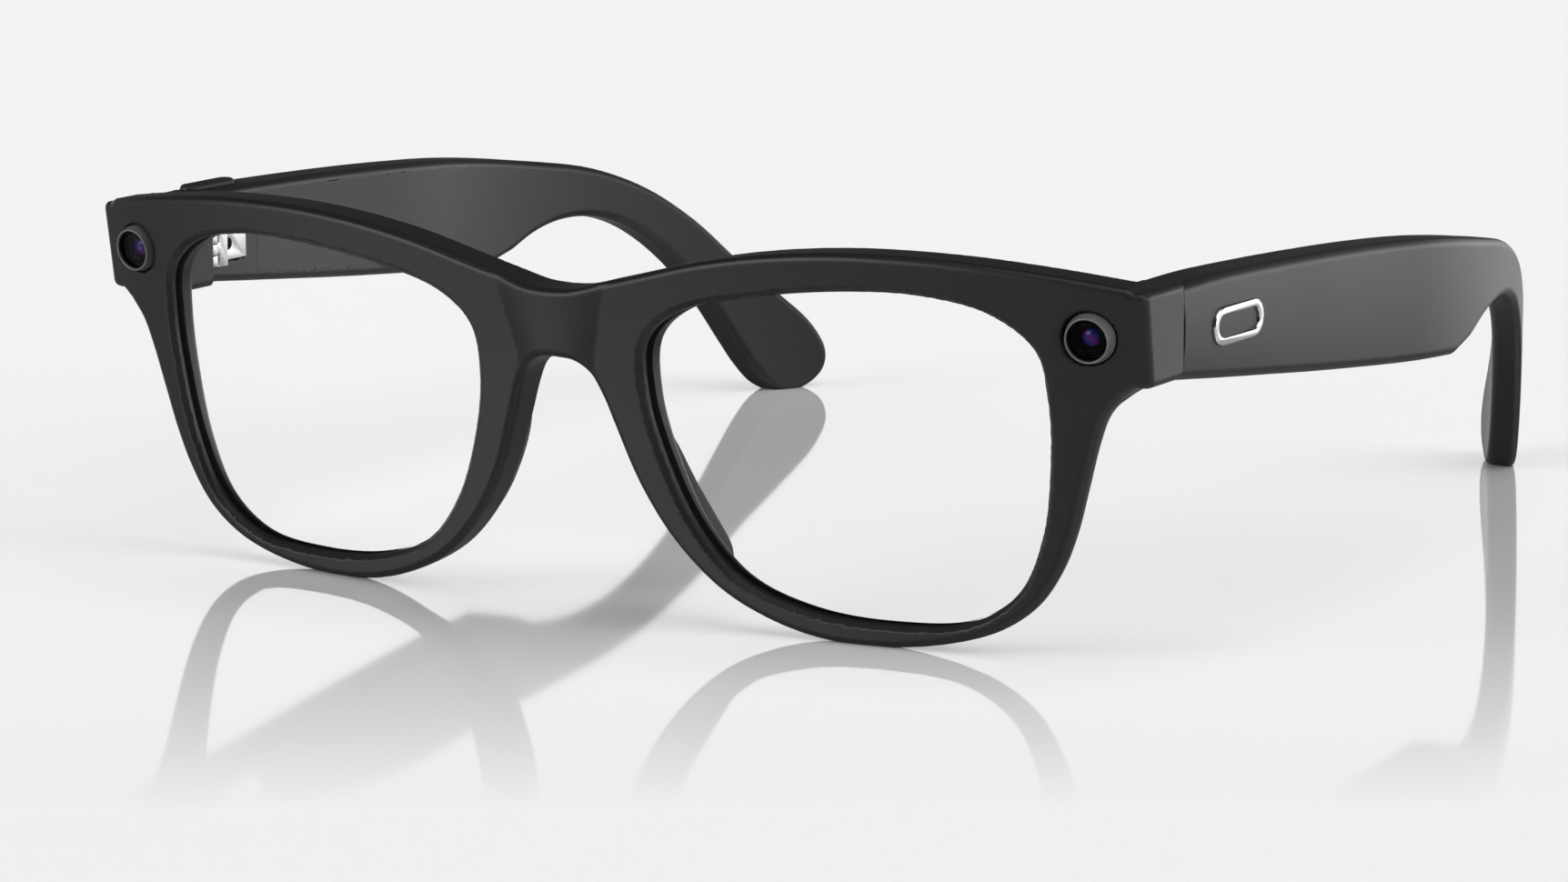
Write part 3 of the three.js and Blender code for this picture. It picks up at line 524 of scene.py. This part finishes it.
def slider_field(x, y, z):
    face = float(outer_x(SWITCH["y"]) - thickness(SWITCH["y"]))
    along = y - (SWITCH["y"] - SWITCH["travel"] / 2)
    side = stadium_field(z - SWITCH["z"], along, SWITCH["width"], SWITCH["length"])
    knob = both(side, face - SWITCH["proud"] - x, SWITCH["edge"])
    wave = SWITCH["ridge"] * np.cos(along * 2 * math.pi / SWITCH["ridge_pitch"])
    ridges = wave * (np.abs(along) < SWITCH["ridged_half"])
    knob = np.maximum(knob, face - SWITCH["ridge_foot"] - x + np.maximum(ridges, 0))
    return np.maximum(knob, x - face - SWITCH["depth"])


# ------------------------------------------------------------------ materials
def material(name):
    made = bpy.data.materials.new(name)
    made.use_nodes = True
    return made, made.node_tree.nodes, made.node_tree.links


def plastic(name, base, roughness, grain=0.22, bump=0.006, smudge=0.05, ior=1.42):
    """Moulded plastic: a fine grain, slow changes of gloss where it is handled, and dull dust on top."""
    made, nodes, links = material(name)
    shader = nodes["Principled BSDF"]
    where = nodes.new("ShaderNodeTexCoord")
    fine = nodes.new("ShaderNodeTexNoise")
    fine.inputs["Scale"].default_value = 1 / (grain * MM)
    fine.inputs["Detail"].default_value = 4
    slow = nodes.new("ShaderNodeTexNoise")
    slow.inputs["Scale"].default_value = 45
    slow.inputs["Detail"].default_value = 3
    for texture in (fine, slow):
        links.new(where.outputs["Object"], texture.inputs["Vector"])
    gloss = nodes.new("ShaderNodeMapRange")
    gloss.inputs["To Min"].default_value = roughness - smudge
    gloss.inputs["To Max"].default_value = roughness + smudge
    links.new(slow.outputs["Fac"], gloss.inputs["Value"])
    split = nodes.new("ShaderNodeSeparateXYZ")
    links.new(where.outputs["Normal"], split.inputs["Vector"])
    dust = nodes.new("ShaderNodeMapRange")
    dust.inputs["From Min"].default_value = 0.75
    dust.inputs["From Max"].default_value = 1.0
    dust.inputs["To Max"].default_value = 0.4
    links.new(split.outputs["Z"], dust.inputs["Value"])
    dull = nodes.new("ShaderNodeMath")
    dull.operation = "ADD"
    dull.use_clamp = True
    links.new(gloss.outputs["Result"], dull.inputs[0])
    links.new(dust.outputs["Result"], dull.inputs[1])
    links.new(dull.outputs["Value"], shader.inputs["Roughness"])
    sheen = nodes.new("ShaderNodeMapRange")
    sheen.inputs["From Max"].default_value = 0.4
    sheen.inputs["To Min"].default_value = 0.5
    sheen.inputs["To Max"].default_value = 0.2
    links.new(dust.outputs["Result"], sheen.inputs["Value"])
    links.new(sheen.outputs["Result"], shader.inputs["Specular IOR Level"])
    shade = nodes.new("ShaderNodeValToRGB")
    shade.color_ramp.elements[0].color = (*[c * 0.95 for c in base], 1)
    shade.color_ramp.elements[1].color = (*[c * 1.05 for c in base], 1)
    links.new(fine.outputs["Fac"], shade.inputs["Fac"])
    links.new(shade.outputs["Color"], shader.inputs["Base Color"])
    raised = nodes.new("ShaderNodeBump")
    raised.inputs["Strength"].default_value = 0.08
    raised.inputs["Distance"].default_value = bump * MM
    links.new(fine.outputs["Fac"], raised.inputs["Height"])
    links.new(raised.outputs["Normal"], shader.inputs["Normal"])
    shader.inputs["IOR"].default_value = ior
    return made


def metal(name, base, roughness, stretch=(1, 1, 14), bump=0.01):
    """Metal with a fine directional brushing."""
    made, nodes, links = material(name)
    shader = nodes["Principled BSDF"]
    shader.inputs["Metallic"].default_value = 1
    where = nodes.new("ShaderNodeTexCoord")
    scale = nodes.new("ShaderNodeMapping")
    scale.inputs["Scale"].default_value = stretch
    lines = nodes.new("ShaderNodeTexNoise")
    lines.inputs["Scale"].default_value = 900
    lines.inputs["Detail"].default_value = 3
    links.new(where.outputs["Object"], scale.inputs["Vector"])
    links.new(scale.outputs["Vector"], lines.inputs["Vector"])
    gloss = nodes.new("ShaderNodeMapRange")
    gloss.inputs["To Min"].default_value = roughness * 0.75
    gloss.inputs["To Max"].default_value = roughness * 1.25
    links.new(lines.outputs["Fac"], gloss.inputs["Value"])
    links.new(gloss.outputs["Result"], shader.inputs["Roughness"])
    shade = nodes.new("ShaderNodeValToRGB")
    shade.color_ramp.elements[0].color = (*[c * 0.9 for c in base], 1)
    shade.color_ramp.elements[1].color = (*base, 1)
    links.new(lines.outputs["Fac"], shade.inputs["Fac"])
    links.new(shade.outputs["Color"], shader.inputs["Base Color"])
    raised = nodes.new("ShaderNodeBump")
    raised.inputs["Strength"].default_value = 0.2
    raised.inputs["Distance"].default_value = bump * MM
    links.new(lines.outputs["Fac"], raised.inputs["Height"])
    links.new(raised.outputs["Normal"], shader.inputs["Normal"])
    return made


def clear(name, tint, least, most):
    """A clear, coated part: it lets light straight through and mirrors a little, more at a glancing angle."""
    made, nodes, links = material(name)
    nodes.remove(nodes["Principled BSDF"])
    through = nodes.new("ShaderNodeBsdfTransparent")
    through.inputs["Color"].default_value = (*tint, 1)
    mirror = nodes.new("ShaderNodeBsdfGlossy")
    mirror.inputs["Roughness"].default_value = 0
    film = nodes.new("ShaderNodeLayerWeight")
    steep = nodes.new("ShaderNodeMath")
    steep.operation = "POWER"
    steep.inputs[1].default_value = 4
    amount = nodes.new("ShaderNodeMapRange")
    amount.inputs["To Min"].default_value = least
    amount.inputs["To Max"].default_value = most
    links.new(film.outputs["Facing"], steep.inputs[0])
    links.new(steep.outputs["Value"], amount.inputs["Value"])
    links.new(amount.outputs["Result"], mirror.inputs["Color"])
    both_ways = nodes.new("ShaderNodeAddShader")
    links.new(through.outputs["BSDF"], both_ways.inputs[0])
    links.new(mirror.outputs["BSDF"], both_ways.inputs[1])
    links.new(both_ways.outputs["Shader"], nodes["Material Output"].inputs["Surface"])
    return made


def coated_lens(name):
    """The camera's front element: dark glass with a coating, blue in places and violet in others; its bright
    base colour is partly the coating's real tint and partly painted reflection of its glints.
    """
    made, nodes, links = material(name)
    shader = nodes["Principled BSDF"]
    where = nodes.new("ShaderNodeTexCoord")
    tint_and_glint_noise = nodes.new("ShaderNodeTexNoise")
    tint_and_glint_noise.inputs["Scale"].default_value = 900
    tint_and_glint_noise.inputs["Detail"].default_value = 0
    links.new(where.outputs["Object"], tint_and_glint_noise.inputs["Vector"])
    # This bright blue and violet is partly the coating's real tint and partly painted reflection standing for
    # its glints.
    shade = nodes.new("ShaderNodeValToRGB")
    shade.color_ramp.elements[0].position = 0.35
    shade.color_ramp.elements[0].color = (0.005, 0.06, 0.30, 1)
    shade.color_ramp.elements[1].position = 0.65
    shade.color_ramp.elements[1].color = (0.34, 0.02, 0.38, 1)
    links.new(tint_and_glint_noise.outputs["Fac"], shade.inputs["Fac"])
    links.new(shade.outputs["Color"], shader.inputs["Base Color"])
    shader.inputs["Roughness"].default_value = 0.08
    shader.inputs["Coat Weight"].default_value = 1
    shader.inputs["Coat Roughness"].default_value = 0.02
    return made


def perforated(name, base):
    """Dark metal mesh with a grid of small round holes that are not cut but painted near-black, as painted
    shade of the openings.
    """
    made = metal(name, base, 0.4)
    nodes, links = made.node_tree.nodes, made.node_tree.links
    where = nodes.new("ShaderNodeTexCoord")
    # The near-black spots are painted shade where the holes would be.
    painted_hole_shade = nodes.new("ShaderNodeTexVoronoi")
    painted_hole_shade.inputs["Scale"].default_value = 2200
    painted_hole_shade.inputs["Randomness"].default_value = 0
    links.new(where.outputs["Object"], painted_hole_shade.inputs["Vector"])
    shade = nodes.new("ShaderNodeValToRGB")
    shade.color_ramp.elements[0].position = 0.25
    shade.color_ramp.elements[0].color = (0.002, 0.002, 0.002, 1)
    shade.color_ramp.elements[1].position = 0.32
    shade.color_ramp.elements[1].color = (*base, 1)
    links.new(painted_hole_shade.outputs["Distance"], shade.inputs["Fac"])
    links.new(shade.outputs["Color"], nodes["Principled BSDF"].inputs["Base Color"])
    return made


LOOKS = {
    "frame": plastic("satin_black", (0.006, 0.006, 0.0062), 0.4, bump=0.002, ior=1.34),
    "pad": plastic("smooth_black", (0.055, 0.055, 0.056), 0.75, grain=0.25, bump=0.01, ior=1.36),
    "key": plastic("key_black", (0.008, 0.008, 0.0082), 0.5, bump=0.002, ior=1.34),
    "clear_lens": clear("clear_lens", (1.0, 1.0, 1.0), 0.0, 0.3),
    "dark_glass": coated_lens("coated_glass_painted_glints"),
    "cover_glass": clear("cover_glass", (0.6, 0.58, 0.66), 0.003, 0.25),
    "bezel": plastic("bezel_grey", (0.085, 0.085, 0.085), 0.3, grain=0.15, bump=0.006, smudge=0.03, ior=1.5),
    "barrel": plastic("barrel_black", (0.003, 0.003, 0.0035), 0.4, grain=0.12, ior=1.12),
    "chip": plastic("dark_laminate", (0.04, 0.06, 0.12), 0.4),
    "steel": metal("brushed_steel", (0.52, 0.52, 0.53), 0.26),
    "cell": metal("battery_foil", (0.6, 0.61, 0.63), 0.35, stretch=(1, 1, 1), bump=0.05),
    "board": plastic("solder_mask", (0.015, 0.10, 0.045), 0.35),
    "flex": plastic("amber_film", (0.42, 0.17, 0.03), 0.3),
    "gold": metal("gold_plate", (0.85, 0.6, 0.25), 0.2, stretch=(1, 1, 1)),
    "badge": metal("polished_chrome", (0.50, 0.50, 0.51), 0.2, stretch=(1, 1, 1), bump=0.002),
    "grille": perforated("dark_mesh", (0.08, 0.08, 0.08)),
    "shadow_gap": plastic("shadow_gap", (0.002, 0.002, 0.002), 0.8, ior=1.1),
}
SLOT_OF_NODE = {entry["node"]: entry["material_slot"] for entry in frame["record"]["subparts"]}


def finish_piece(made, body, look, *nodes):
    """Gives a piece its material and its body, and hides the CAD nodes it stands for."""
    made.data.materials.clear()
    made.data.materials.append(LOOKS[look])
    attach(made, body)
    if nodes:
        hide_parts(*nodes)
    return made


# ------------------------------------------------------------------ moulded pieces
def moulded_front():
    front = field_object("front_moulding", front_field, (-72.2, -7.2, -0.45), (72.2, 12.6, 46.2), FINE)
    finish_piece(front, "front", "frame", "front_frame")
    for side, mirror in (("left", False), ("right", True)):
        pad = field_object(
            f"nose_bridge_pad_{side}", pad_field, (3.0, -5.5, 5.6), (20.0, 8.0, 29.0), PAD_STEP, mirror
        )
        finish_piece(pad, "front", "pad", f"nose_pad_{side}")
        lens = field_object(
            f"clear_lens_{side}", lens_field, (10.0, -6.0, 1.0), (62.0, 8.5, 43.0), LENS_STEP, mirror
        )
        finish_piece(lens, "front", "clear_lens", f"lens_{side}")


def lens_gap_shade(side):
    """A black strip round the opening: painted shade for the shadow in the gap where the lens enters its
    groove.
    """
    sign = 1 if side == "left" else -1
    mesh = bpy.data.meshes.new(f"lens_gap_shade_{side}")
    points = []
    step = np.roll(FRONT_OPENING, -1, 0) - np.roll(FRONT_OPENING, 1, 0)
    inward = np.stack([-step[:, 1], step[:, 0]], 1) / np.linalg.norm(step, axis=1)[:, None]
    middle = FRONT_OPENING.mean(0)
    turned = np.sign(((middle - FRONT_OPENING) * inward).sum(1))[:, None]
    raised = FRONT_OPENING + inward * turned * LENS_GAP_SHADE["raised"]
    for x, z in raised:
        for depth in LENS_GAP_SHADE["depths"]:
            y = (bend(x) + depth - z * math.sin(TILT)) / math.cos(TILT)
            points.append(Vector((sign * x, y + SHIFT_Y, z)) * MM)
    n = len(raised)
    faces = [(2 * i, 2 * i + 1, (2 * i + 3) % (2 * n), (2 * i + 2) % (2 * n)) for i in range(n)]
    mesh.from_pydata(points, [], faces)
    made = bpy.data.objects.new(mesh.name, mesh)
    bpy.context.scene.collection.objects.link(made)
    finish_piece(made, "front", "shadow_gap")


def moulded_temples():
    for side, mirror in (("left", False), ("right", True)):
        body = f"{side}_temple"
        shell = field_object(
            f"temple_moulding_{side}", lambda x, y, z: arm_field(x, y, z, side == "right"),
            (48.0, 10.2, -0.45), (75.0, 142.6, 43.2), FINE, mirror,
        )
        finish_piece(shell, body, "frame", f"temple_shell_{side}")
        cover = field_object(
            f"inner_cover_{side}", lambda x, y, z: cover_field(x, y, z, side == "left"),
            (64.5, 25.0, 23.5), (70.5, 92.5, 43.0), FINE, mirror,
        )
        finish_piece(cover, body, "frame", f"temple_inner_cover_{side}")
    button = field_object(
        "shutter_key", button_field, (67.4, 15.6, 39.8), (71.0, 26.0, 43.9), KEY_STEP, True
    )
    finish_piece(button, "shutter", "key", "shutter_button")
    slider = field_object("power_key", slider_field, (64.5, 28.0, 35.0), (68.5, 33.5, 38.0), SLIDER_STEP)
    finish_piece(slider, "power_slider", "key", "power_switch_slider")


# ------------------------------------------------------------------ cameras
def camera_frame(side):
    """Turns geometry made about +Z, nose up, onto the camera's axis."""
    sign = 1 if side == "left" else -1
    x, y, z = CAMERA["place"]
    place = Matrix.Translation(Vector((sign * x, y + SHIFT_Y, z)) * MM)
    yaw = Matrix.Rotation(sign * CAMERA["yaw"], 4, "Z")
    turn = yaw @ Matrix.Rotation(math.pi / 2 + CAMERA["pitch"], 4, "X")
    return place @ turn @ Matrix.Scale(MM, 4)


def lathe(name, profile, matrix, closed=False, sides=96):
    """A smooth solid of revolution about Z; a closed profile makes a ring."""
    mesh = bpy.data.meshes.new(name)
    n = len(profile)
    points = []
    for i in range(sides):
        turn = 2 * math.pi * i / sides
        points += [Vector((r * math.cos(turn), r * math.sin(turn), h)) for r, h in profile]
    spans = n if closed else n - 1
    faces = []
    for i in range(sides):
        a, b = i * n, ((i + 1) % sides) * n
        faces += [(a + k, b + k, b + (k + 1) % n, a + (k + 1) % n) for k in range(spans)]
    mesh.from_pydata(points, [], faces)
    work = bmesh.new()
    work.from_mesh(mesh)
    bmesh.ops.remove_doubles(work, verts=work.verts, dist=1e-5)
    bmesh.ops.recalc_face_normals(work, faces=work.faces)
    work.transform(matrix)
    work.to_mesh(mesh)
    work.free()
    mesh.shade_smooth()
    mesh.set_sharp_from_angle(angle=32 * DEG)
    made = bpy.data.objects.new(name, mesh)
    bpy.context.scene.collection.objects.link(made)
    return made


def arc(centre, radius, start, end, steps=5):
    return [
        (centre[0] + radius * math.cos(a * DEG), centre[1] + radius * math.sin(a * DEG))
        for a in np.linspace(start, end, steps)
    ]


def camera(side):
    m = camera_frame(side)
    lip = arc((2.46, -0.12), 0.11, 0, 180, 7)
    ring_profile = lip[::-1] + [(2.6, -0.25), (2.84, -1.0), (2.88, -1.4), (2.88, -2.6), (2.35, -2.6)]
    bezel = lathe(f"camera_ring_{side}", ring_profile, m, closed=True)
    finish_piece(bezel, "front", "bezel", f"camera_bezel_{side}")
    sleeve_profile = [(2.34, -0.3), (2.34, -2.6), (1.95, -2.6), (1.95, -1.0), (2.2, -1.0), (2.22, -0.3)]
    sleeve = lathe(f"camera_sleeve_{side}", sleeve_profile, m, closed=True)
    finish_piece(sleeve, "front", "barrel")
    cover = lathe(
        f"camera_window_{side}",
        [(0, -0.93), (2.18, -0.93), (2.18, -0.62), (2.1, -0.55), (0, -0.55)], m,
    )
    finish_piece(cover, "front", "cover_glass", f"camera_cover_glass_{side}")
    steps = [(0, -3.2), (1.85, -3.2), (1.85, -1.3)] + arc((1.7, -1.3), 0.15, 0, 90, 4)
    steps += [(1.6, -1.15), (1.52, -1.3), (1.4, -1.3), (1.35, -1.45)]
    steps += [(1.25, -1.45), (1.2, -1.62), (1.1, -1.75), (0, -1.75)]
    barrel = lathe(f"camera_barrel_{side}", steps, m)
    finish_piece(barrel, "front", "barrel", f"camera_lens_barrel_{side}")
    dome = [(1.06 * math.cos(a * DEG), -1.7 + 0.5 * math.sin(a * DEG)) for a in range(0, 91, 9)]
    element = lathe(f"camera_element_{side}", [(0, -1.7)] + dome, m)
    finish_piece(element, "front", "dark_glass", f"camera_lens_{side}")


# ------------------------------------------------------------------ small machined pieces
def bevelled(node, width):
    """The CAD solid with its flat facets joined and its edges broken."""
    source = frame["nodes"][node]
    made = bpy.data.objects.new(f"{node}_finished", source.data.copy())
    bpy.context.scene.collection.objects.link(made)
    work = bmesh.new()
    work.from_mesh(made.data)
    bmesh.ops.remove_doubles(work, verts=work.verts, dist=2e-6)
    bmesh.ops.dissolve_limit(work, angle_limit=2 * DEG, verts=work.verts, edges=work.edges)
    sharp = [e for e in work.edges if e.is_manifold and e.calc_face_angle(0) > 28 * DEG]
    bmesh.ops.bevel(
        work, geom=sharp, offset=width * MM, segments=2, profile=0.6, affect="EDGES", clamp_overlap=True
    )
    work.to_mesh(made.data)
    work.free()
    made.data.shade_smooth()
    made.data.set_sharp_from_angle(angle=50 * DEG)
    return made


BEVELS = {
    "hinge_front_leaf": 0.12, "hinge_temple_leaf": 0.15, "hinge_screw": 0.06, "end_cover": 0.1,
    "leaf_screw_1": 0.04, "leaf_screw_2": 0.04, "temple_badge": 0.2, "charge_contact": 0.12,
}


def machined():
    for node, solid in sorted(frame["nodes"].items()):
        stem = node.rpartition("_")[0]
        if stem in BEVELS:
            made = bevelled(node, BEVELS[stem])
            finish_piece(made, solid["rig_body"], SLOT_OF_NODE[node], node)


def dress_remaining():
    """Every CAD node that still shows gets its slot's material."""
    for node, made in frame["nodes"].items():
        made.data.materials.clear()
        made.data.materials.append(LOOKS[SLOT_OF_NODE[node]])


# ------------------------------------------------------------------ studio
VIEW = {
    "azimuth": 31.37 * DEG, "elevation": 10.89 * DEG, "distance": 559.4, "roll": -0.227 * DEG, "lens": 114.5,
}
AIM = (27.66, 0.0, 22.85)
FLOOR = {"albedo": 0.9, "mirror": 0.58, "reach": 0.145, "blur": 0.05, "half": 6.0, "below": 0.00002}
SKY = {
    "room": 0.06,
    "wall": 1.13, "wall_edge": (0.2, 0.8), "wall_top": (0.24, 0.36),
    "bank": 3.7, "bank_towards": (0.75, 0.65, 0.1), "bank_edge": (0.55, 0.9), "bank_top": (0.12, 0.3),
    "front": 6.2, "front_towards": (-0.50, -0.82, 0.27), "front_edge": (0.88, 0.98),
}
SUNS = {  # direction, strength and spread
    "overhead": ((0.35, -0.1, 1), 1.52, 60 * DEG),
    "side": ((1, 0.1, 0.55), 1.0, 40 * DEG),
}


def view_axes():
    a, e = VIEW["azimuth"], VIEW["elevation"]
    back = Vector((math.sin(a) * math.cos(e), -math.cos(a) * math.cos(e), math.sin(e)))
    right = Vector((math.cos(a), math.sin(a), 0))
    up = back.cross(right)
    c, s = math.cos(VIEW["roll"]), math.sin(VIEW["roll"])
    return right * c + up * s, up * c - right * s, back


def studio_camera():
    right, up, back = view_axes()
    data = bpy.data.cameras.new("camera")
    data.lens = VIEW["lens"]
    data.sensor_width = 36
    data.clip_start = 0.01
    data.clip_end = 30
    made = bpy.data.objects.new("camera", data)
    bpy.context.scene.collection.objects.link(made)
    place = (Vector(AIM) + Vector((0, SHIFT_Y, 0)) + back * VIEW["distance"]) * MM
    made.matrix_world = Matrix.Translation(place) @ Matrix((right, up, back)).transposed().to_4x4()
    bpy.context.scene.camera = made


def floor():
    """A pale floor that mirrors the glasses; the mirror fades out in front of them."""
    mesh = bpy.data.meshes.new("floor")
    half = FLOOR["half"]
    corners = [(-half, -half, 0), (half, -half, 0), (half, half, 0), (-half, half, 0)]
    mesh.from_pydata(corners, [], [(0, 1, 2, 3)])
    made = bpy.data.objects.new("floor", mesh)
    bpy.context.scene.collection.objects.link(made)
    made.location = (0, 0, -FLOOR["below"])
    look, nodes, links = material("studio_floor")
    nodes.remove(nodes["Principled BSDF"])
    matt = nodes.new("ShaderNodeBsdfDiffuse")
    matt.inputs["Color"].default_value = (FLOOR["albedo"], FLOOR["albedo"], FLOOR["albedo"], 1)
    mirror = nodes.new("ShaderNodeBsdfGlossy")
    mirror.inputs["Roughness"].default_value = FLOOR["blur"]
    where = nodes.new("ShaderNodeTexCoord")
    towards = nodes.new("ShaderNodeVectorMath")
    towards.operation = "DOT_PRODUCT"
    towards.inputs[1].default_value = (math.sin(VIEW["azimuth"]), -math.cos(VIEW["azimuth"]), 0)
    links.new(where.outputs["Object"], towards.inputs[0])
    nearer = nodes.new("ShaderNodeMapRange")
    nearer.inputs["From Max"].default_value = FLOOR["reach"]
    links.new(towards.outputs["Value"], nearer.inputs["Value"])
    squared = nodes.new("ShaderNodeMath")
    squared.operation = "POWER"
    squared.inputs[1].default_value = 2
    links.new(nearer.outputs["Result"], squared.inputs[0])
    amount = nodes.new("ShaderNodeMapRange")
    amount.inputs["To Min"].default_value = FLOOR["mirror"]
    amount.inputs["To Max"].default_value = 0
    links.new(squared.outputs["Value"], amount.inputs["Value"])
    mix = nodes.new("ShaderNodeMixShader")
    links.new(amount.outputs["Result"], mix.inputs["Fac"])
    links.new(matt.outputs["BSDF"], mix.inputs[1])
    links.new(mirror.outputs["BSDF"], mix.inputs[2])
    links.new(mix.outputs["Shader"], nodes["Material Output"].inputs["Surface"])
    mesh.materials.append(look)


def sun(name, towards, strength, spread):
    """A soft sun in the direction it is given, which points from the glasses to the light."""
    data = bpy.data.lights.new(name, "SUN")
    data.energy = strength
    data.angle = spread
    made = bpy.data.objects.new(name, data)
    bpy.context.scene.collection.objects.link(made)
    made.rotation_euler = Vector(towards).to_track_quat("Z", "Y").to_euler()


def glow(nodes, links, direction, edge, strength):
    """A patch of sky about a direction, whose strength rises from none to full between two cosines."""
    ray = nodes.new("ShaderNodeTexCoord")
    along = nodes.new("ShaderNodeVectorMath")
    along.operation = "DOT_PRODUCT"
    along.inputs[1].default_value = Vector(direction).normalized()
    links.new(ray.outputs["Generated"], along.inputs[0])
    patch = nodes.new("ShaderNodeMapRange")
    patch.inputs["From Min"].default_value, patch.inputs["From Max"].default_value = edge
    patch.inputs["To Max"].default_value = strength
    links.new(along.outputs["Value"], patch.inputs["Value"])
    return patch.outputs["Result"]


def lights():
    """A dark room with a low bright wall behind the glasses, patches of light beside and in front of them,
    and two soft suns."""
    world = bpy.data.worlds.new("studio")
    bpy.context.scene.world = world
    world.use_nodes = True
    nodes, links = world.node_tree.nodes, world.node_tree.links
    sky = nodes["Background"]
    sky.inputs["Color"].default_value = (1, 1, 1, 1)
    a = VIEW["azimuth"]
    wall = glow(nodes, links, (-math.sin(a), math.cos(a), 0), SKY["wall_edge"], SKY["wall"] - SKY["room"])
    bank = glow(nodes, links, SKY["bank_towards"], SKY["bank_edge"], SKY["bank"])
    front = glow(nodes, links, SKY["front_towards"], SKY["front_edge"], SKY["front"])
    ray = nodes.new("ShaderNodeTexCoord")
    split = nodes.new("ShaderNodeSeparateXYZ")
    links.new(ray.outputs["Generated"], split.inputs["Vector"])
    patches = [front]
    for patch, top in ((wall, SKY["wall_top"]), (bank, SKY["bank_top"])):
        below = nodes.new("ShaderNodeMapRange")
        below.inputs["From Min"].default_value, below.inputs["From Max"].default_value = top
        below.inputs["To Min"].default_value = 1
        below.inputs["To Max"].default_value = 0
        links.new(split.outputs["Z"], below.inputs["Value"])
        low = nodes.new("ShaderNodeMath")
        low.operation = "MULTIPLY"
        links.new(patch, low.inputs[0])
        links.new(below.outputs["Result"], low.inputs[1])
        patches.append(low.outputs["Value"])
    total = SKY["room"]
    for patch in patches:
        add = nodes.new("ShaderNodeMath")
        add.operation = "ADD"
        if isinstance(total, float):
            add.inputs[0].default_value = total
        else:
            links.new(total, add.inputs[0])
        links.new(patch, add.inputs[1])
        total = add.outputs["Value"]
    links.new(total, sky.inputs["Strength"])
    for name, (towards, strength, spread) in SUNS.items():
        sun(name, towards, strength, spread)
    bpy.context.scene.view_settings.view_transform = "Standard"


moulded_front()
for side in ("left", "right"):
    lens_gap_shade(side)
    camera(side)
moulded_temples()
machined()
dress_remaining()
studio_camera()
floor()
lights()

bpy.context.view_layer.update()
